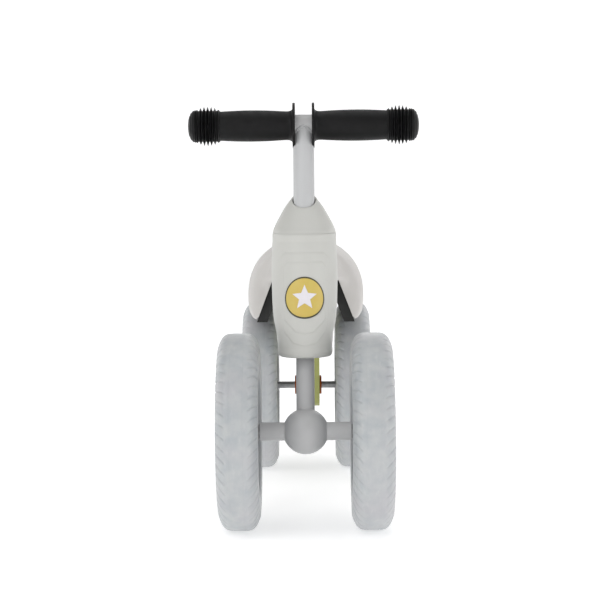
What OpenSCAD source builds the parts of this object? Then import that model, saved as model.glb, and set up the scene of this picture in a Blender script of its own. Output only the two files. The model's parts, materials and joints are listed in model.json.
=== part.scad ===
// Balance bike for a toddler: four small foam wheels, a steel frame under plastic covers,
// a moulded saddle and a T-shaped handlebar that turns in the head tube.
// Millimetres. The bike stands on the ground plane, its front faces -Y and +X is the rider's left.

/* [Wheels] */
// Diameter of every wheel
wheel_d = 193; // [180:1:200]
// Width of every tyre
tyre_w = 40; // [38:1:44]
// Distance between the front and the rear axle
wheelbase = 366; // [360:1:380]
// Distance from the middle plane to the middle of a front wheel
front_wheel_x = 64.8; // [64.8:0.2:72]
// Distance from the middle plane to the middle of a rear wheel
rear_wheel_x = 53.6; // [53:0.2:60]
// Diameter of the axle rods
axle_d = 8; // [8:1:8]

/* [Steering] */
// Lean of the steering axis from the vertical, in degrees
head_angle = 15; // [12:0.5:16]
// Steering angle to each side, in degrees
steer_limit = 67.5; // [45:0.5:67.5]
// Height of the crossbar's middle above the ground
bar_z = 396.2; // [390:0.2:410]
// Outer diameter of the crossbar
bar_d = 22.2; // [22.2:0.1:22.2]
// Overall width of the handlebar over both grips
bar_w = 233.4; // [220:0.2:260]
// Outer diameter of the steerer and of the front axle tube
steerer_d = 18; // [18:0.5:18]
// Outer diameter of the head tube
head_tube_d = 28; // [28:0.5:30]

/* [Body] */
// Largest radius of the front shroud
shroud_r = 33.8; // [32:0.1:36]
// Wall of the plastic covers
cover_wall = 2.5; // [2:0.1:3]
// Diameter of the badge
badge_d = 41.4; // [30:0.2:44]
// Outer diameter of the main tube
main_tube_d = 28; // [25:0.5:28]

/* [Saddle] */
// Half of the saddle's largest width
saddle_half_w = 65; // [60:0.5:68]
// Height of the saddle's top above the ground
saddle_top_z = 271; // [269:1:276]

/* [Hidden] */
$fn = 64;

wheel_r = wheel_d / 2;
axle_r = axle_d / 2;
front_y = -wheelbase / 2;
rear_y = wheelbase / 2;
running_gap = 0.05;
gap = 0.3;

// Stations along the steering axis, measured from the middle of the front axle
bar_t = (bar_z - wheel_r) / cos(head_angle);
crown_t = 78;
crown_h = 4;
bush_flange = 1.7;
head_t0 = crown_t + crown_h + gap + bush_flange;
head_t1 = 206;
bush_len = 18;
collar_t = head_t1 + bush_flange + gap;
collar_h = 5;
stem_t = collar_t + collar_h + 1;
steerer_t1 = 290;
stop_t = 120;
button_t = 252;
stem_r = bar_d / 2 - 0.5;
steerer_r = steerer_d / 2;
head_r = head_tube_d / 2;
ball_r = 22.5;

// Stations across a wheel, measured outwards from its middle plane
hub_in = -17;
hub_out = 5;
bush_lip = 1.4;
washer_h = 1.4;
nut_h = 6.5;
axle_past = 15;
rim_r = 62;
rim_half = tyre_w / 2 - 4;
axle_tube_half = front_wheel_x - tyre_w / 2;

// Main tube, from the head tube back and down to the top of the rear stay
head_joint_t = 150;
tube_front = [front_y + head_joint_t * sin(head_angle), wheel_r + head_joint_t * cos(head_angle)];
tube_rear = [140, 211];
tube_r = main_tube_d / 2;
tube_drop = atan2(tube_front[1] - tube_rear[1], tube_rear[0] - tube_front[0]);
tube_len = norm(tube_rear - tube_front);
stay_r = 9;
stay_lean = atan2(rear_y - tube_rear[0], tube_rear[1] - wheel_r);
stay_len = norm([rear_y, wheel_r] - tube_rear);
tail_left = 15;
tail_right = 11.5;
tail_wall = 2;
tail_r = 25;
tail_len = 97;
tail_flare = 4;

// Front shroud and cowl: side radius and front radius against height
seam_z = 289;
cowl_z1 = 321.1;
shroud_sides = [
  [169, 24], [171.5, 27.2], [180, 28], [192, 29], [204.5, 31.8], [220, 33.1], [241.5, 33.8],
  [260, 33.8], [279, 33.1], [293.5, 30.9], [301, 26.8], [312.5, 20], [321.1, 12.9]
];
shroud_front = [
  [169, 24], [171.5, 27.2], [180, 29.5], [195, 33], [208, 33.6], [262, 33.6], [279, 32.6],
  [293.5, 29.8], [301, 26], [312.5, 19.6], [321.1, 12.9]
];
cowl_slope = [[289, 0], [294, 0.08], [301, 0.2], [312.5, 0.36], [321.1, 0.5]];
seam_gap = 0.15;
shroud_scale = shroud_r / 33.8;
badge_z = 227.5;
badge_t = (badge_z - wheel_r - shroud_r * sin(head_angle)) / cos(head_angle);

// Beam cover: half width and half height against the distance along Y
beam_y0 = -123;
beam_y1 = 57;
beam_half_w = [[-123, 27], [-50, 25.5], [57, 24]];
beam_half_h = [[-123, 31], [-50, 28], [57, 24]];
beam_lean = [[-123, tan(head_angle)], [-50, 0.05], [-10, 0]];
beam_ys = [beam_y0, -90, -50, -10, 30, beam_y1];
screw_r = 1.65;
screw_head_r = 3.1;
screw_seat = 17;

// Saddle and its pan
pan_y0 = 60;
pan_y1 = 203;
pan_top_z = 246;
pan_deck = 6;
pan_knee_z = 226;
pan_lean = 0.38;
pan_floor_z = 182;
bolt_r = 3;
fender_r = 103.5;
pad_w = [
  [-2, 0.2], [2, 0.33], [12, 0.42], [30, 0.56], [48, 0.76], [52, 0.86], [56, 0.91], [60, 0.94],
  [75, 0.98], [95, 1], [138, 1], [168, 0.95], [190, 0.84], [206, 0.66], [216, 0.42], [220, 0.24]
];
pad_top = [
  [-2, -16], [2, -11], [12, -7], [30, -5], [55, -4], [95, -2], [130, -1], [160, 0], [190, -3],
  [206, -11], [216, -22], [220, -32]
];
pad_wide_z = [
  [-2, 250], [12, 243], [30, 238], [48, 234], [52, 224], [56, 216], [60, 213], [163, 213],
  [203, 216], [214, 222], [220, 234]
];
pad_skirt = [
  [-2, 246], [12, 236], [30, 230], [48, 227], [52, 208], [56, 192], [60, 184], [120, 184],
  [134, 188], [147, 194], [163, 198.5], [183, 200.5], [203, 200.5], [212, 208], [220, 228]
];
pad_arch = 0.91;
pad_ys = [
  -2, 2, 12, 26, 40, 48, 52, 56, 60, 72, 86, 102, 120, 134, 147, 163, 177, 190, 200, 208, 214, 218,
  220
];

// Grip profile, from the flange by the stem to the ball at the end: [distance from the middle, radius]
grip_x0 = 8.5;
grip_x1 = grip_x0 + 2.6;
flange_r = 23.1;
bar_fit = bar_d / 2 + 0.05;
grip_ball_r = 20;
grip_ball_x = bar_w / 2 - grip_ball_r;
rib_n = 7;
rib_pitch = 3.6;
rib_w = 1.6;
rib_root = 15.6;
dome_x = grip_ball_x + rib_pitch * (rib_n - 1) / 2 + 1.2;
bar_half = 100;
function rib_x(i) = grip_ball_x + (i - (rib_n - 1) / 2) * rib_pitch;
function rib_r(i) = sqrt(pow(grip_ball_r, 2) - pow(rib_x(i) - grip_ball_x, 2));
function grip_body_r(x) = 13.9 + 1.9 * sin(180 * (x - grip_x0) / (grip_ball_x - grip_x0));
grip_profile = concat(
  [[grip_x0, bar_fit], [grip_x0, flange_r - 0.5], [grip_x0 + 0.5, flange_r], [grip_x1 - 0.5, flange_r]],
  [[grip_x1, flange_r - 0.5], [grip_x1, grip_body_r(grip_x0 + 3)]],
  [for (x = [grip_x0 + 8 : 12 : rib_x(0) - 4]) [x, grip_body_r(x)]],
  [for (i = [0 : rib_n - 1])
    each [
      [rib_x(i) - rib_w / 2, rib_root], [rib_x(i) - rib_w / 2, rib_r(i) - 0.4],
      [rib_x(i) - rib_w / 4, rib_r(i)],
      [rib_x(i) + rib_w / 4, rib_r(i)],
      [rib_x(i) + rib_w / 2, rib_r(i) - 0.4], [rib_x(i) + rib_w / 2, rib_root]
    ]
  ],
  [for (a = [0 : 22.5 : 90]) [dome_x + (bar_w / 2 - dome_x) * sin(a), 16.4 * cos(a)]],
  [[bar_half + 0.2, 0], [bar_half + 0.2, bar_fit]]
);

// A closed solid through rings of points that all have the same count
module loft(rings) {
  n = len(rings[0]);
  m = len(rings);
  points = [for (ring = rings) each ring];
  sides = [
    for (i = [0 : m - 2], j = [0 : n - 1])
      let (a = i * n + j, b = i * n + (j + 1) % n)
        each [[a, b, b + n], [a, b + n, a + n]]
  ];
  first_cap = [for (j = [n - 1 : -1 : 0]) j];
  last_cap = [for (j = [0 : n - 1]) (m - 1) * n + j];
  polyhedron(points = points, faces = concat(sides, [first_cap, last_cap]), convexity = 8);
}

// A closed solid through a loop of rings, such as a shell's outside and inside, with no caps
module loft_loop(rings) {
  n = len(rings[0]);
  m = len(rings);
  points = [for (ring = rings) each ring];
  faces = [
    for (i = [0 : m - 1], j = [0 : n - 1])
      let (
        a = i * n + j,
        b = i * n + (j + 1) % n,
        c = (i + 1) % m * n + j,
        d = (i + 1) % m * n + (j + 1) % n
      )
        each [[a, b, d], [a, d, c]]
  ];
  polyhedron(points = points, faces = faces, convexity = 8);
}

// Leaves a mesh solid at its own size and keeps it as one mesh
module one_mesh() {
  resize([0, 0, 0]) children();
}

// Places children in the steering frame: its Z runs up the steering axis from the front axle
module steering_frame() {
  translate([0, front_y, wheel_r]) rotate([-head_angle, 0, 0]) children();
}

// A straight tube along +Z
module tube(r_out, r_in, z0, z1) {
  difference() {
    translate([0, 0, z0]) cylinder(r = r_out, h = z1 - z0);
    translate([0, 0, z0 - 1]) cylinder(r = r_in, h = z1 - z0 + 2);
  }
}

// Children's Z axis turned to run along +X
module along_x() {
  rotate([0, 90, 0]) children();
}

// One ring of the shroud: points at a height on the steering axis, in a plane that rises to the back
function slant(slope) = cos(head_angle) - slope * sin(head_angle);
function shroud_ring(z, slope, side, front, inset, sides) = [
  for (i = [0 : sides - 1])
    let (
      a = 360 * i / sides,
      back = -cos(a) * (front - inset) / slant(slope),
      axis_y = front_y + (z - wheel_r) * tan(head_angle)
    )
      [-sin(a) * (side - inset), axis_y + back, z + slope * back]
];
function shroud_level(z, inset) = shroud_ring(
  z, lookup(z, cowl_slope), shroud_scale * lookup(z, shroud_sides),
  shroud_scale * lookup(z, shroud_front), inset, 56);

module shroud_solid(inset, levels) {
  loft([for (z = levels) shroud_level(z, inset)]);
}

// Superellipse point, used by the beam cover
function power(v, p) = sign(v) * pow(abs(v), p);
function beam_point(y, a, inset) =
  let (dz = power(sin(a), 0.6) * (lookup(y, beam_half_h) - inset)) [
    max(gap / 2, power(cos(a), 0.6) * (lookup(y, beam_half_w) - inset)),
    y + dz * lookup(y, beam_lean),
    tube_line_z(y) + dz
  ];
function tube_line_z(y) = tube_front[1] - (y - tube_front[0]) * tan(tube_drop);
function beam_ring(y) = concat(
  [for (a = [-90 : 9 : 90]) beam_point(y, a, 0)],
  [for (a = [90 : -9 : -90]) beam_point(y, a, cover_wall)]
);

// One half of the beam cover; the half that takes the screw heads has wider holes
module beam_half(head) {
  one_mesh()
  difference() {
    union() {
      loft([for (y = beam_ys) beam_ring(y)]);
      screw_places() translate([0, 0, gap / 2]) cylinder(r = 3.8, h = screw_seat + 3, $fn = 20);
    }
    screw_places() {
      cylinder(r = screw_r, h = head ? 40 : screw_seat, $fn = 20);
      if (head)
        translate([0, 0, screw_seat]) cylinder(r = screw_head_r + 0.1, h = 20, $fn = 20);
    }
  }
}

module screw_places() {
  for (y = [-86, -50, -14], side = [-1, 1])
    translate([0, y, tube_line_z(y) + side * 18]) along_x() children();
}

// The space that the beam cover fills, grown a little, used to clear its neighbours
module beam_solid(grow) {
  loft([
    for (y = [beam_y0 - 10, -90, -50, -10, 30, beam_y1 + 2])
      concat(
        [for (a = [-90 : 9 : 90]) beam_point(y, a, -grow)],
        [for (a = [81 : -9 : -81]) let (p = beam_point(y, a, -grow)) [-p[0], p[1], p[2]]]
      )
  ]);
}

// Frame ---------------------------------------------------------------------------------------

module head_tube() {
  color("silver")
  steering_frame()
  difference() {
    tube(head_r, head_r - 2, head_t0, head_t1);
    // Window for the stop pin at the front
    rotate([0, 0, -90 - steer_limit - 11])
      translate([0, 0, stop_t - 2.4])
        rotate_extrude(angle = 2 * steer_limit + 22) translate([head_r - 3, 0]) square([4, 4.8]);
  }
}

module head_bush(t0, flange_t) {
  steering_frame()
  difference() {
    union() {
      translate([0, 0, t0]) cylinder(r = head_r - 2.02, h = bush_len);
      translate([0, 0, flange_t]) cylinder(r = head_r, h = bush_flange);
    }
    translate([0, 0, t0 - 5]) cylinder(r = steerer_r + running_gap, h = bush_len + 10);
  }
}

module bush_lower() {
  color("dimgray") head_bush(head_t0, head_t0 - bush_flange);
}

module bush_upper() {
  color("dimgray") head_bush(head_t1 - bush_len, head_t1);
}

// The main tube's frame: its Z runs down the tube from the head tube
module tube_place() {
  translate([0, tube_front[0], tube_front[1]]) rotate([-90 - tube_drop, 0, 0]) children();
}

module main_tube() {
  color("silver")
  difference() {
    tube_place() tube(tube_r, tube_r - 2, 0, tube_len);
    steering_frame() cylinder(r = head_r, h = 260);
  }
}

module tube_plug() {
  color("black")
  tube_place() {
    translate([0, 0, tube_len - 8]) cylinder(r = tube_r - 2.05, h = 8);
    translate([0, 0, tube_len]) cylinder(r1 = tube_r, r2 = tube_r - 1.5, h = 2.5);
  }
}

module rear_stay() {
  color("silver")
  difference() {
    translate([0, rear_y, wheel_r]) rotate([stay_lean, 0, 0]) tube(stay_r, stay_r - 2, 0, stay_len);
    tube_place() cylinder(r = tube_r, h = tube_len + 20);
    translate([-20, rear_y, wheel_r]) along_x() cylinder(r = 10, h = 40);
  }
}

module rear_boss() {
  color("silver")
  translate([0, rear_y, wheel_r]) along_x() tube(10, axle_r + 0.1, -9.2, 10.8);
}

module seat_bracket() {
  top_z = pan_top_z - pan_deck - 0.3;
  color("silver")
  difference() {
    union() {
      translate([-28, 80, top_z - 3]) cube([56, 54, 3]);
      for (side = [-1, 1])
        translate([side * (tube_r + 1.7) - 1.5, 84, tube_rear[1] + 2])
          cube([3, 46, top_z - tube_rear[1] - 4]);
    }
    bolt_places() cylinder(r = bolt_r + 0.1, h = top_z + 1);
  }
}

module bolt_places() {
  for (x = [-23.3, 23.3], y = [92, 122])
    translate([x, y, 0]) children();
}

module seat_bolts() {
  color("dimgray")
  bolt_places() translate([0, 0, pan_top_z - pan_deck - 3.4]) {
    translate([0, 0, -4]) cylinder(d = 11.5, h = 4, $fn = 6);
    cylinder(r = bolt_r, h = 7.4);
  }
}

module beam_left() {
  color("whitesmoke") beam_half(false);
}

module beam_right() {
  color("whitesmoke") mirror([1, 0, 0]) beam_half(true);
}

// A cover screw along +Z whose head's underside is at z = 0
module cover_screw(shank, head) {
  translate([0, 0, -shank]) cylinder(r = screw_r - 0.05, h = shank + 1);
  difference() {
    cylinder(r = screw_head_r, h = head);
    translate([-0.5, -2, head - 1.2]) cube([1, 4, 2]);
    translate([-2, -0.5, head - 1.2]) cube([4, 1, 2]);
  }
}

module beam_screws() {
  color("gray")
  mirror([1, 0, 0]) screw_places() translate([0, 0, screw_seat]) cover_screw(30, 5);
}

module front_shroud() {
  color("whitesmoke")
  one_mesh()
  difference() {
    shroud_solid(0, [169, 171.5, 180, 192, 204.5, 220, 241.5, 260, 279, seam_z - seam_gap]);
    shroud_solid(cover_wall, [165, 169, 171.5, 180, 192, 204.5, 220, 241.5, 260, 279, seam_z + 4]);
    beam_solid(0.5);
    badge_place() badge_wedge(badge_d / 2 + 0.2, shroud_r - 2.1, shroud_r + 8);
  }
}

// Up the outside of the cowl, over its lip round the stem and down the inside
module top_cowl() {
  levels = [seam_z + seam_gap, 293.5, 297, 301, 305, 309, 313, 317.5, cowl_z1];
  lip = lookup(cowl_z1, shroud_sides) - stem_r - 0.45;
  color("whitesmoke")
  one_mesh()
  loft_loop(concat(
    [for (z = levels) shroud_level(z, 0)],
    [shroud_level(cowl_z1 - 0.01, lip)],
    [for (i = [len(levels) - 2 : -1 : 0]) shroud_level(levels[i], cover_wall)]
  ));
}

// The badge is a disc wrapped round the shroud's front
module badge_place() {
  steering_frame() translate([0, 0, badge_t]) children();
}

module badge_wedge(r, r_in, r_out) {
  intersection() {
    rotate([90, 0, 0]) cylinder(r = r, h = 60);
    difference() {
      translate([0, 0, -40]) cylinder(r = r_out, h = 80);
      translate([0, 0, -41]) cylinder(r = r_in, h = 82);
    }
  }
}

module badge_ring() {
  color("darkolivegreen")
  badge_place()
  difference() {
    badge_wedge(badge_d / 2, shroud_r - 1.9, shroud_r + 0.7);
    rotate([90, 0, 0]) cylinder(r = badge_d / 2 - 1.3, h = 60);
  }
}

module badge_disc() {
  color("khaki")
  badge_place() badge_wedge(badge_d / 2 - 1.4, shroud_r - 1.9, shroud_r + 0.3);
}

module badge_star() {
  star = [for (i = [0 : 9]) let (r = i % 2 == 0 ? 13 : 5.6) [r * sin(36 * i), r * cos(36 * i)]];
  color("white")
  badge_place()
  intersection() {
    rotate([90, 0, 0]) linear_extrude(60) polygon(star);
    difference() {
      translate([0, 0, -40]) cylinder(r = shroud_r + 0.8, h = 80);
      translate([0, 0, -41]) cylinder(r = shroud_r + 0.35, h = 82);
    }
  }
}

// Lowest height of the pan's sides: level at the front, then clear of the rear wheels
function pan_low(y) = abs(rear_y - y) < sqrt(pow(fender_r, 2) - pow(pan_floor_z - wheel_r, 2))
  ? wheel_r + sqrt(pow(fender_r, 2) - pow(rear_y - y, 2))
  : pan_floor_z;
function pan_shrink(y) = y < 163 ? 1 : 1 - 0.4 * pow((y - 163) / 40, 2);
function pan_side(y, x, z, lean) = [(x + lean * (pan_knee_z - z)) * pan_shrink(y), y, z];
function lerp(a, b, t) = a + (b - a) * t;
function mirror_x(points) = [
  for (i = [len(points) - 1 : -1 : 0]) [-points[i][0], points[i][1], points[i][2]]
];
function pan_outer(y) = [
  pan_side(y, 37.5, pan_low(y), pan_lean),
  pan_side(y, 37.5, lerp(pan_low(y), pan_knee_z, 0.5), pan_lean),
  pan_side(y, 37.5, pan_knee_z, 0),
  pan_side(y, 36, pan_top_z - 6, 0),
  pan_side(y, 28, pan_top_z, 0)
];
function pan_inner(y) = [
  pan_side(y, 28, pan_top_z - pan_deck, 0),
  pan_side(y, 31, pan_top_z - pan_deck - 3, 0),
  pan_side(y, 31, pan_knee_z, 0),
  pan_side(y, 31, lerp(pan_low(y), pan_knee_z, 0.5), 0.16),
  pan_side(y, 27.5, pan_low(y), 0.34)
];
function pan_section(y) = concat(
  pan_outer(y), mirror_x(pan_outer(y)), mirror_x(pan_inner(y)), pan_inner(y));

module seat_pan() {
  color("#2c2c2a")
  one_mesh()
  difference() {
    loft([for (y = [pan_y0, 80, 100, 114, 124, 134, 147, 163, 177, 191, pan_y1]) pan_section(y)]);
    bolt_places() cylinder(r = bolt_r + 0.1, h = pan_top_z - 1.5, $fn = 20);
  }
}

// Saddle: an arch whose two skirts come down over the pan's sides
function pad_side(y) = let (
    w = saddle_half_w * lookup(y, pad_w),
    z0 = lookup(y, pad_skirt),
    zw = lookup(y, pad_wide_z)
  )
    [
      [w * 0.9, y, z0], [w * 0.96, y, lerp(z0, zw, 0.12)], [w * 0.985, y, lerp(z0, zw, 0.3)],
      [w, y, lerp(z0, zw, 0.6)], [w, y, zw]
    ];
function pad_outer(y) = let (
    w = saddle_half_w * lookup(y, pad_w),
    zw = lookup(y, pad_wide_z),
    top = saddle_top_z + lookup(y, pad_top)
  )
    concat(
      pad_side(y),
      [for (a = [7.5 : 7.5 : 172.5])
        [w * power(cos(a), pad_arch), y, zw + power(sin(a), pad_arch) * (top - zw)]],
      mirror_x(pad_side(y))
    );

// The space under the saddle that its pan fills
function pan_room(y) = let (
    half = [
      [38.2 + pan_lean * 60, pan_knee_z - 60], [38.2, pan_knee_z + 0.4], [36.6, pan_top_z - 5.6],
      [28.2, pan_top_z + 0.5]
    ],
    grow = pan_shrink(y)
  )
    concat(
      [for (p = half) [p[0] * grow + 0.4, y, p[1]]],
      [for (i = [3 : -1 : 0]) [-half[i][0] * grow - 0.4, y, half[i][1]]]
    );

module seat_pad() {
  color("gainsboro")
  one_mesh()
  difference() {
    loft([for (y = pad_ys) pad_outer(y)]);
    loft([for (y = [pan_y0 - 12, 163, 177, 191, pan_y1 + 0.6]) pan_room(y)]);
    beam_solid(0.5);
    tube_place() cylinder(r = tube_r + 0.6, h = tube_len);
  }
}

// Rear arm cover: a flat fin round the rear stay, with a round foot at the axle
module tail_profile(inset) {
  r = tail_r - inset;
  rotate([0, 0, stay_lean]) {
    circle(r = r);
    polygon([
      [r * cos(tail_flare), -r * sin(tail_flare)], [r + tail_len * tan(tail_flare), tail_len - inset],
      [-r - tail_len * tan(tail_flare), tail_len - inset], [-r * cos(tail_flare), -r * sin(tail_flare)]
    ]);
  }
}

// Extrudes a profile of the side view, drawn round the rear axle, from x0 to x1
module side_plate(x0, x1) {
  translate([x0, rear_y, wheel_r])
    rotate([90, 0, 90]) linear_extrude(x1 - x0) children();
}

module tail_screw_places() {
  translate([0, rear_y, wheel_r]) rotate([stay_lean, 0, 0])
    for (p = [[17, 24], [-17, 24], [20, 72], [-20, 72]])
      translate([0, p[0], p[1]]) along_x() children();
}

module tail_half_cover(half, head) {
  difference() {
    union() {
      difference() {
        side_plate(gap / 2, half) tail_profile(0);
        side_plate(0, half - tail_wall) tail_profile(tail_wall);
      }
      tail_screw_places() translate([0, 0, gap / 2]) cylinder(r = 3.6, h = half - 1 - gap / 2);
    }
    tail_screw_places() {
      cylinder(r = screw_r, h = head ? 20 : half - tail_wall);
      if (head)
        translate([0, 0, half - 2.4]) cylinder(r = screw_head_r + 0.1, h = 5);
    }
    translate([0, rear_y, wheel_r]) along_x() cylinder(r = axle_r + 0.3, h = 20);
    // The top is open to the stay
    translate([0, rear_y, wheel_r]) rotate([stay_lean, 0, 0])
      translate([0, 0, tail_len - 6]) cylinder(r = stay_r + 1, h = 10);
  }
}

module tail_cover_left() {
  color("gold") tail_half_cover(tail_left, false);
}

module tail_cover_right() {
  color("gold") mirror([1, 0, 0]) tail_half_cover(tail_right, true);
}

module tail_screws() {
  color("gray")
  mirror([1, 0, 0]) tail_screw_places() translate([0, 0, tail_right - 2.4]) cover_screw(19, 2.1);
}

// Axles ---------------------------------------------------------------------------------------

module axle_rod(half) {
  along_x() {
    translate([0, 0, 1 - half]) cylinder(r = axle_r, h = 2 * half - 2);
    translate([0, 0, -half]) cylinder(r1 = axle_r - 1, r2 = axle_r, h = 1);
    translate([0, 0, half - 1]) cylinder(r1 = axle_r, r2 = axle_r - 1, h = 1);
  }
}

// Copies children, drawn for the left wheel along +X, to both wheels of an axle
module both_wheels(y, wheel_x) {
  for (side = [0, 1])
    translate([0, y, wheel_r]) mirror([side, 0, 0]) translate([wheel_x, 0, 0]) along_x() children();
}

module lock_nut() {
  nut_z = hub_out + bush_lip + 0.3 + washer_h;
  difference() {
    union() {
      translate([0, 0, nut_z]) cylinder(d = 15, h = nut_h - 1.5, $fn = 6);
      translate([0, 0, nut_z + nut_h - 1.5]) cylinder(r1 = 6, r2 = 5.4, h = 1.5);
    }
    translate([0, 0, nut_z - 1]) cylinder(r = axle_r + 0.02, h = nut_h + 2);
  }
}

module washer_pair() {
  tube(8, axle_r + 0.1, hub_out + bush_lip + 0.15, hub_out + bush_lip + 0.15 + washer_h);
  tube(7, axle_r + 0.1, hub_in - bush_lip - 0.15 - washer_h, hub_in - bush_lip - 0.15);
}

module rear_axle() {
  color("silver") translate([0, rear_y, wheel_r]) axle_rod(rear_wheel_x + axle_past);
}

module front_axle() {
  color("silver") translate([0, front_y, wheel_r]) axle_rod(front_wheel_x + axle_past);
}

module rear_nuts() {
  color("silver") both_wheels(rear_y, rear_wheel_x) lock_nut();
}

module front_nuts() {
  color("silver") both_wheels(front_y, front_wheel_x) lock_nut();
}

module rear_washers() {
  color("silver") both_wheels(rear_y, rear_wheel_x) washer_pair();
}

module front_washers() {
  color("silver") both_wheels(front_y, front_wheel_x) washer_pair();
}

// Coloured collars that hold the rear arm's middle on the axle
module rear_flanges() {
  color("chocolate")
  translate([tail_left, rear_y, wheel_r]) along_x() tube(11, axle_r + 0.05, 0.1, 2.4);
  translate([-tail_right - 2.4, rear_y, wheel_r]) along_x() tube(11, axle_r + 0.05, 0, 2.3);
}

// Steering ------------------------------------------------------------------------------------

module fork_leg() {
  color("silver")
  steering_frame()
  difference() {
    tube(steerer_r, steerer_r - 2, 0, steerer_t1);
    translate([-30, 0, 0]) along_x() cylinder(r = steerer_r + 0.02, h = 60);
    translate([0, 0, -20]) cylinder(r = 20, h = 20);
    // Holes for the stop pin in front and for the snap button behind
    translate([0, 0, stop_t]) rotate([90, 0, 0]) cylinder(r = 2.02, h = 20);
    translate([0, 0, button_t]) rotate([-90, 0, 0]) cylinder(r = 3.05, h = 20);
  }
}

module crown_ring() {
  color("silver")
  steering_frame() tube(13, steerer_r, crown_t, crown_t + crown_h);
}

module top_collar() {
  color("dimgray")
  steering_frame()
  difference() {
    tube(12.5, steerer_r, collar_t, collar_t + collar_h);
    translate([0, 0, collar_t + collar_h / 2]) rotate([-90, 0, 0]) cylinder(r = 1.5, h = 20);
  }
}

module collar_screw() {
  color("black")
  steering_frame()
  translate([0, steerer_r, collar_t + collar_h / 2]) rotate([-90, 0, 0])
  difference() {
    cylinder(r = 1.48, h = 3.3);
    translate([0, 0, 1.8]) cylinder(r = 0.8, h = 2, $fn = 6);
  }
}

module stop_pin() {
  color("silver")
  steering_frame()
  translate([0, -head_r - 0.4, stop_t]) rotate([-90, 0, 0]) cylinder(r = 2, h = head_r + 0.4 - 5);
}

module axle_tube() {
  color("silver")
  translate([0, front_y, wheel_r]) along_x()
    tube(steerer_r, axle_r + 0.1, -axle_tube_half, axle_tube_half);
}

// Ball cover over the joint between the fork leg and the axle tube, in two halves
module ball_half(side) {
  steering_frame()
  difference() {
    sphere(r = ball_r);
    sphere(r = ball_r - 3);
    cylinder(r = steerer_r + 0.1, h = 40);
    translate([-40, 0, 0]) along_x() cylinder(r = steerer_r + 0.1, h = 80);
    translate([-30, side > 0 ? -60 + gap / 2 : -gap / 2, -30]) cube([60, 60, 60]);
  }
}

module hub_ball_front() {
  color("silver") ball_half(-1);
}

module hub_ball_rear() {
  color("silver") ball_half(1);
}

module stem_tube() {
  color("silver")
  steering_frame()
  difference() {
    tube(stem_r, steerer_r + 0.15, stem_t, bar_t);
    translate([-30, 0, bar_t]) along_x() cylinder(r = bar_d / 2, h = 60);
    translate([0, 0, button_t]) rotate([-90, 0, 0]) cylinder(r = 3.05, h = 20);
  }
}

module snap_button() {
  color("silver")
  steering_frame()
  translate([0, 5, button_t]) rotate([-90, 0, 0]) {
    cylinder(r = 3, h = 6.2);
    translate([0, 0, 6.2]) cylinder(r1 = 3, r2 = 2, h = 0.8);
  }
}

module bar_place() {
  steering_frame() translate([0, 0, bar_t]) children();
}

module crossbar() {
  color("silver")
  bar_place() along_x() tube(bar_d / 2, bar_d / 2 - 2, -bar_half, bar_half);
}

// A grip is turned round the crossbar; its flange is notched over the stem
module grip() {
  bar_place()
  difference() {
    along_x() rotate([0, 0, 90]) rotate_extrude() polygon([for (p = grip_profile) [p[1], p[0]]]);
    translate([0, 0, -40]) cylinder(r = stem_r + 0.3, h = 40);
  }
}

module grip_left() {
  color("#232325") grip();
}

module grip_right() {
  color("#232325") mirror([1, 0, 0]) grip();
}

// Wheels --------------------------------------------------------------------------------------

// Places a wheel's parts: the left wheels as drawn, the right wheels mirrored
module wheel_place(y, x, side) {
  translate([0, y, wheel_r]) mirror([side > 0 ? 0 : 1, 0, 0]) translate([x, 0, 0]) along_x() children();
}

// Tyre radius across the tread
function tread_r(x) = wheel_r - 13 * pow(abs(x) / (tyre_w / 2), 3);

module tyre() {
  half = tyre_w / 2;
  rotate_extrude($fn = 96)
    polygon(concat(
      [for (x = [-half : half / 8 : half]) [tread_r(x), x]],
      [[rim_r + 8, half], [rim_r + 1, half - 3], [rim_r, half - 4]],
      [[rim_r, 4 - half], [rim_r + 1, 3 - half], [rim_r + 8, -half]]
    ));
}

module rim() {
  difference() {
    union() {
      // Rim band, dish and hub
      rotate_extrude()
        polygon([
          [9, hub_in], [14, hub_in], [15, -12], [40, -8], [56, -9], [58, -rim_half], [rim_r, -rim_half],
          [rim_r, rim_half], [58, rim_half], [56, 0], [40, -3], [15, 1], [14, 1.2],
          [14, hub_out], [9, hub_out]
        ]);
      // Ribs of the dish
      for (i = [0 : 4])
        rotate([0, 0, 72 * i]) translate([21, -4, -4]) cube([36.5, 8, 5.5]);
      tube(9.5, 7, hub_in, hub_out);
    }
    translate([0, 0, hub_in - 1]) cylinder(r = 7, h = hub_out - hub_in + 2);
  }
}

module wheel_bush() {
  for (end = [[hub_in, 1], [hub_out, -1]])
    translate([0, 0, end[0]]) mirror([0, 0, end[1] > 0 ? 0 : 1]) {
      tube(6.98, axle_r + running_gap, 0, 9);
      tube(9, axle_r + running_gap, -bush_lip, 0);
    }
}

module wheel_cap() {
  rotate_extrude()
    polygon([
      [14.05, 1.5], [17, 1.5], [19, 4], [19, 12], [17, 15], [12, 17.2], [0, 18.5], [0, 16.5], [11, 15.4],
      [15, 13.4], [16.5, 11.2], [16.5, 5.2], [14.05, 4.8]
    ]);
}

module tyre_front_left() {
  color("lightgray") wheel_place(front_y, front_wheel_x, 1) tyre();
}

module rim_front_left() {
  color("gainsboro") wheel_place(front_y, front_wheel_x, 1) rim();
}

module bush_front_left() {
  color("white") wheel_place(front_y, front_wheel_x, 1) wheel_bush();
}

module cap_front_left() {
  color("gold") wheel_place(front_y, front_wheel_x, 1) wheel_cap();
}

module tyre_front_right() {
  color("lightgray") wheel_place(front_y, front_wheel_x, -1) tyre();
}

module rim_front_right() {
  color("gainsboro") wheel_place(front_y, front_wheel_x, -1) rim();
}

module bush_front_right() {
  color("white") wheel_place(front_y, front_wheel_x, -1) wheel_bush();
}

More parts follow.
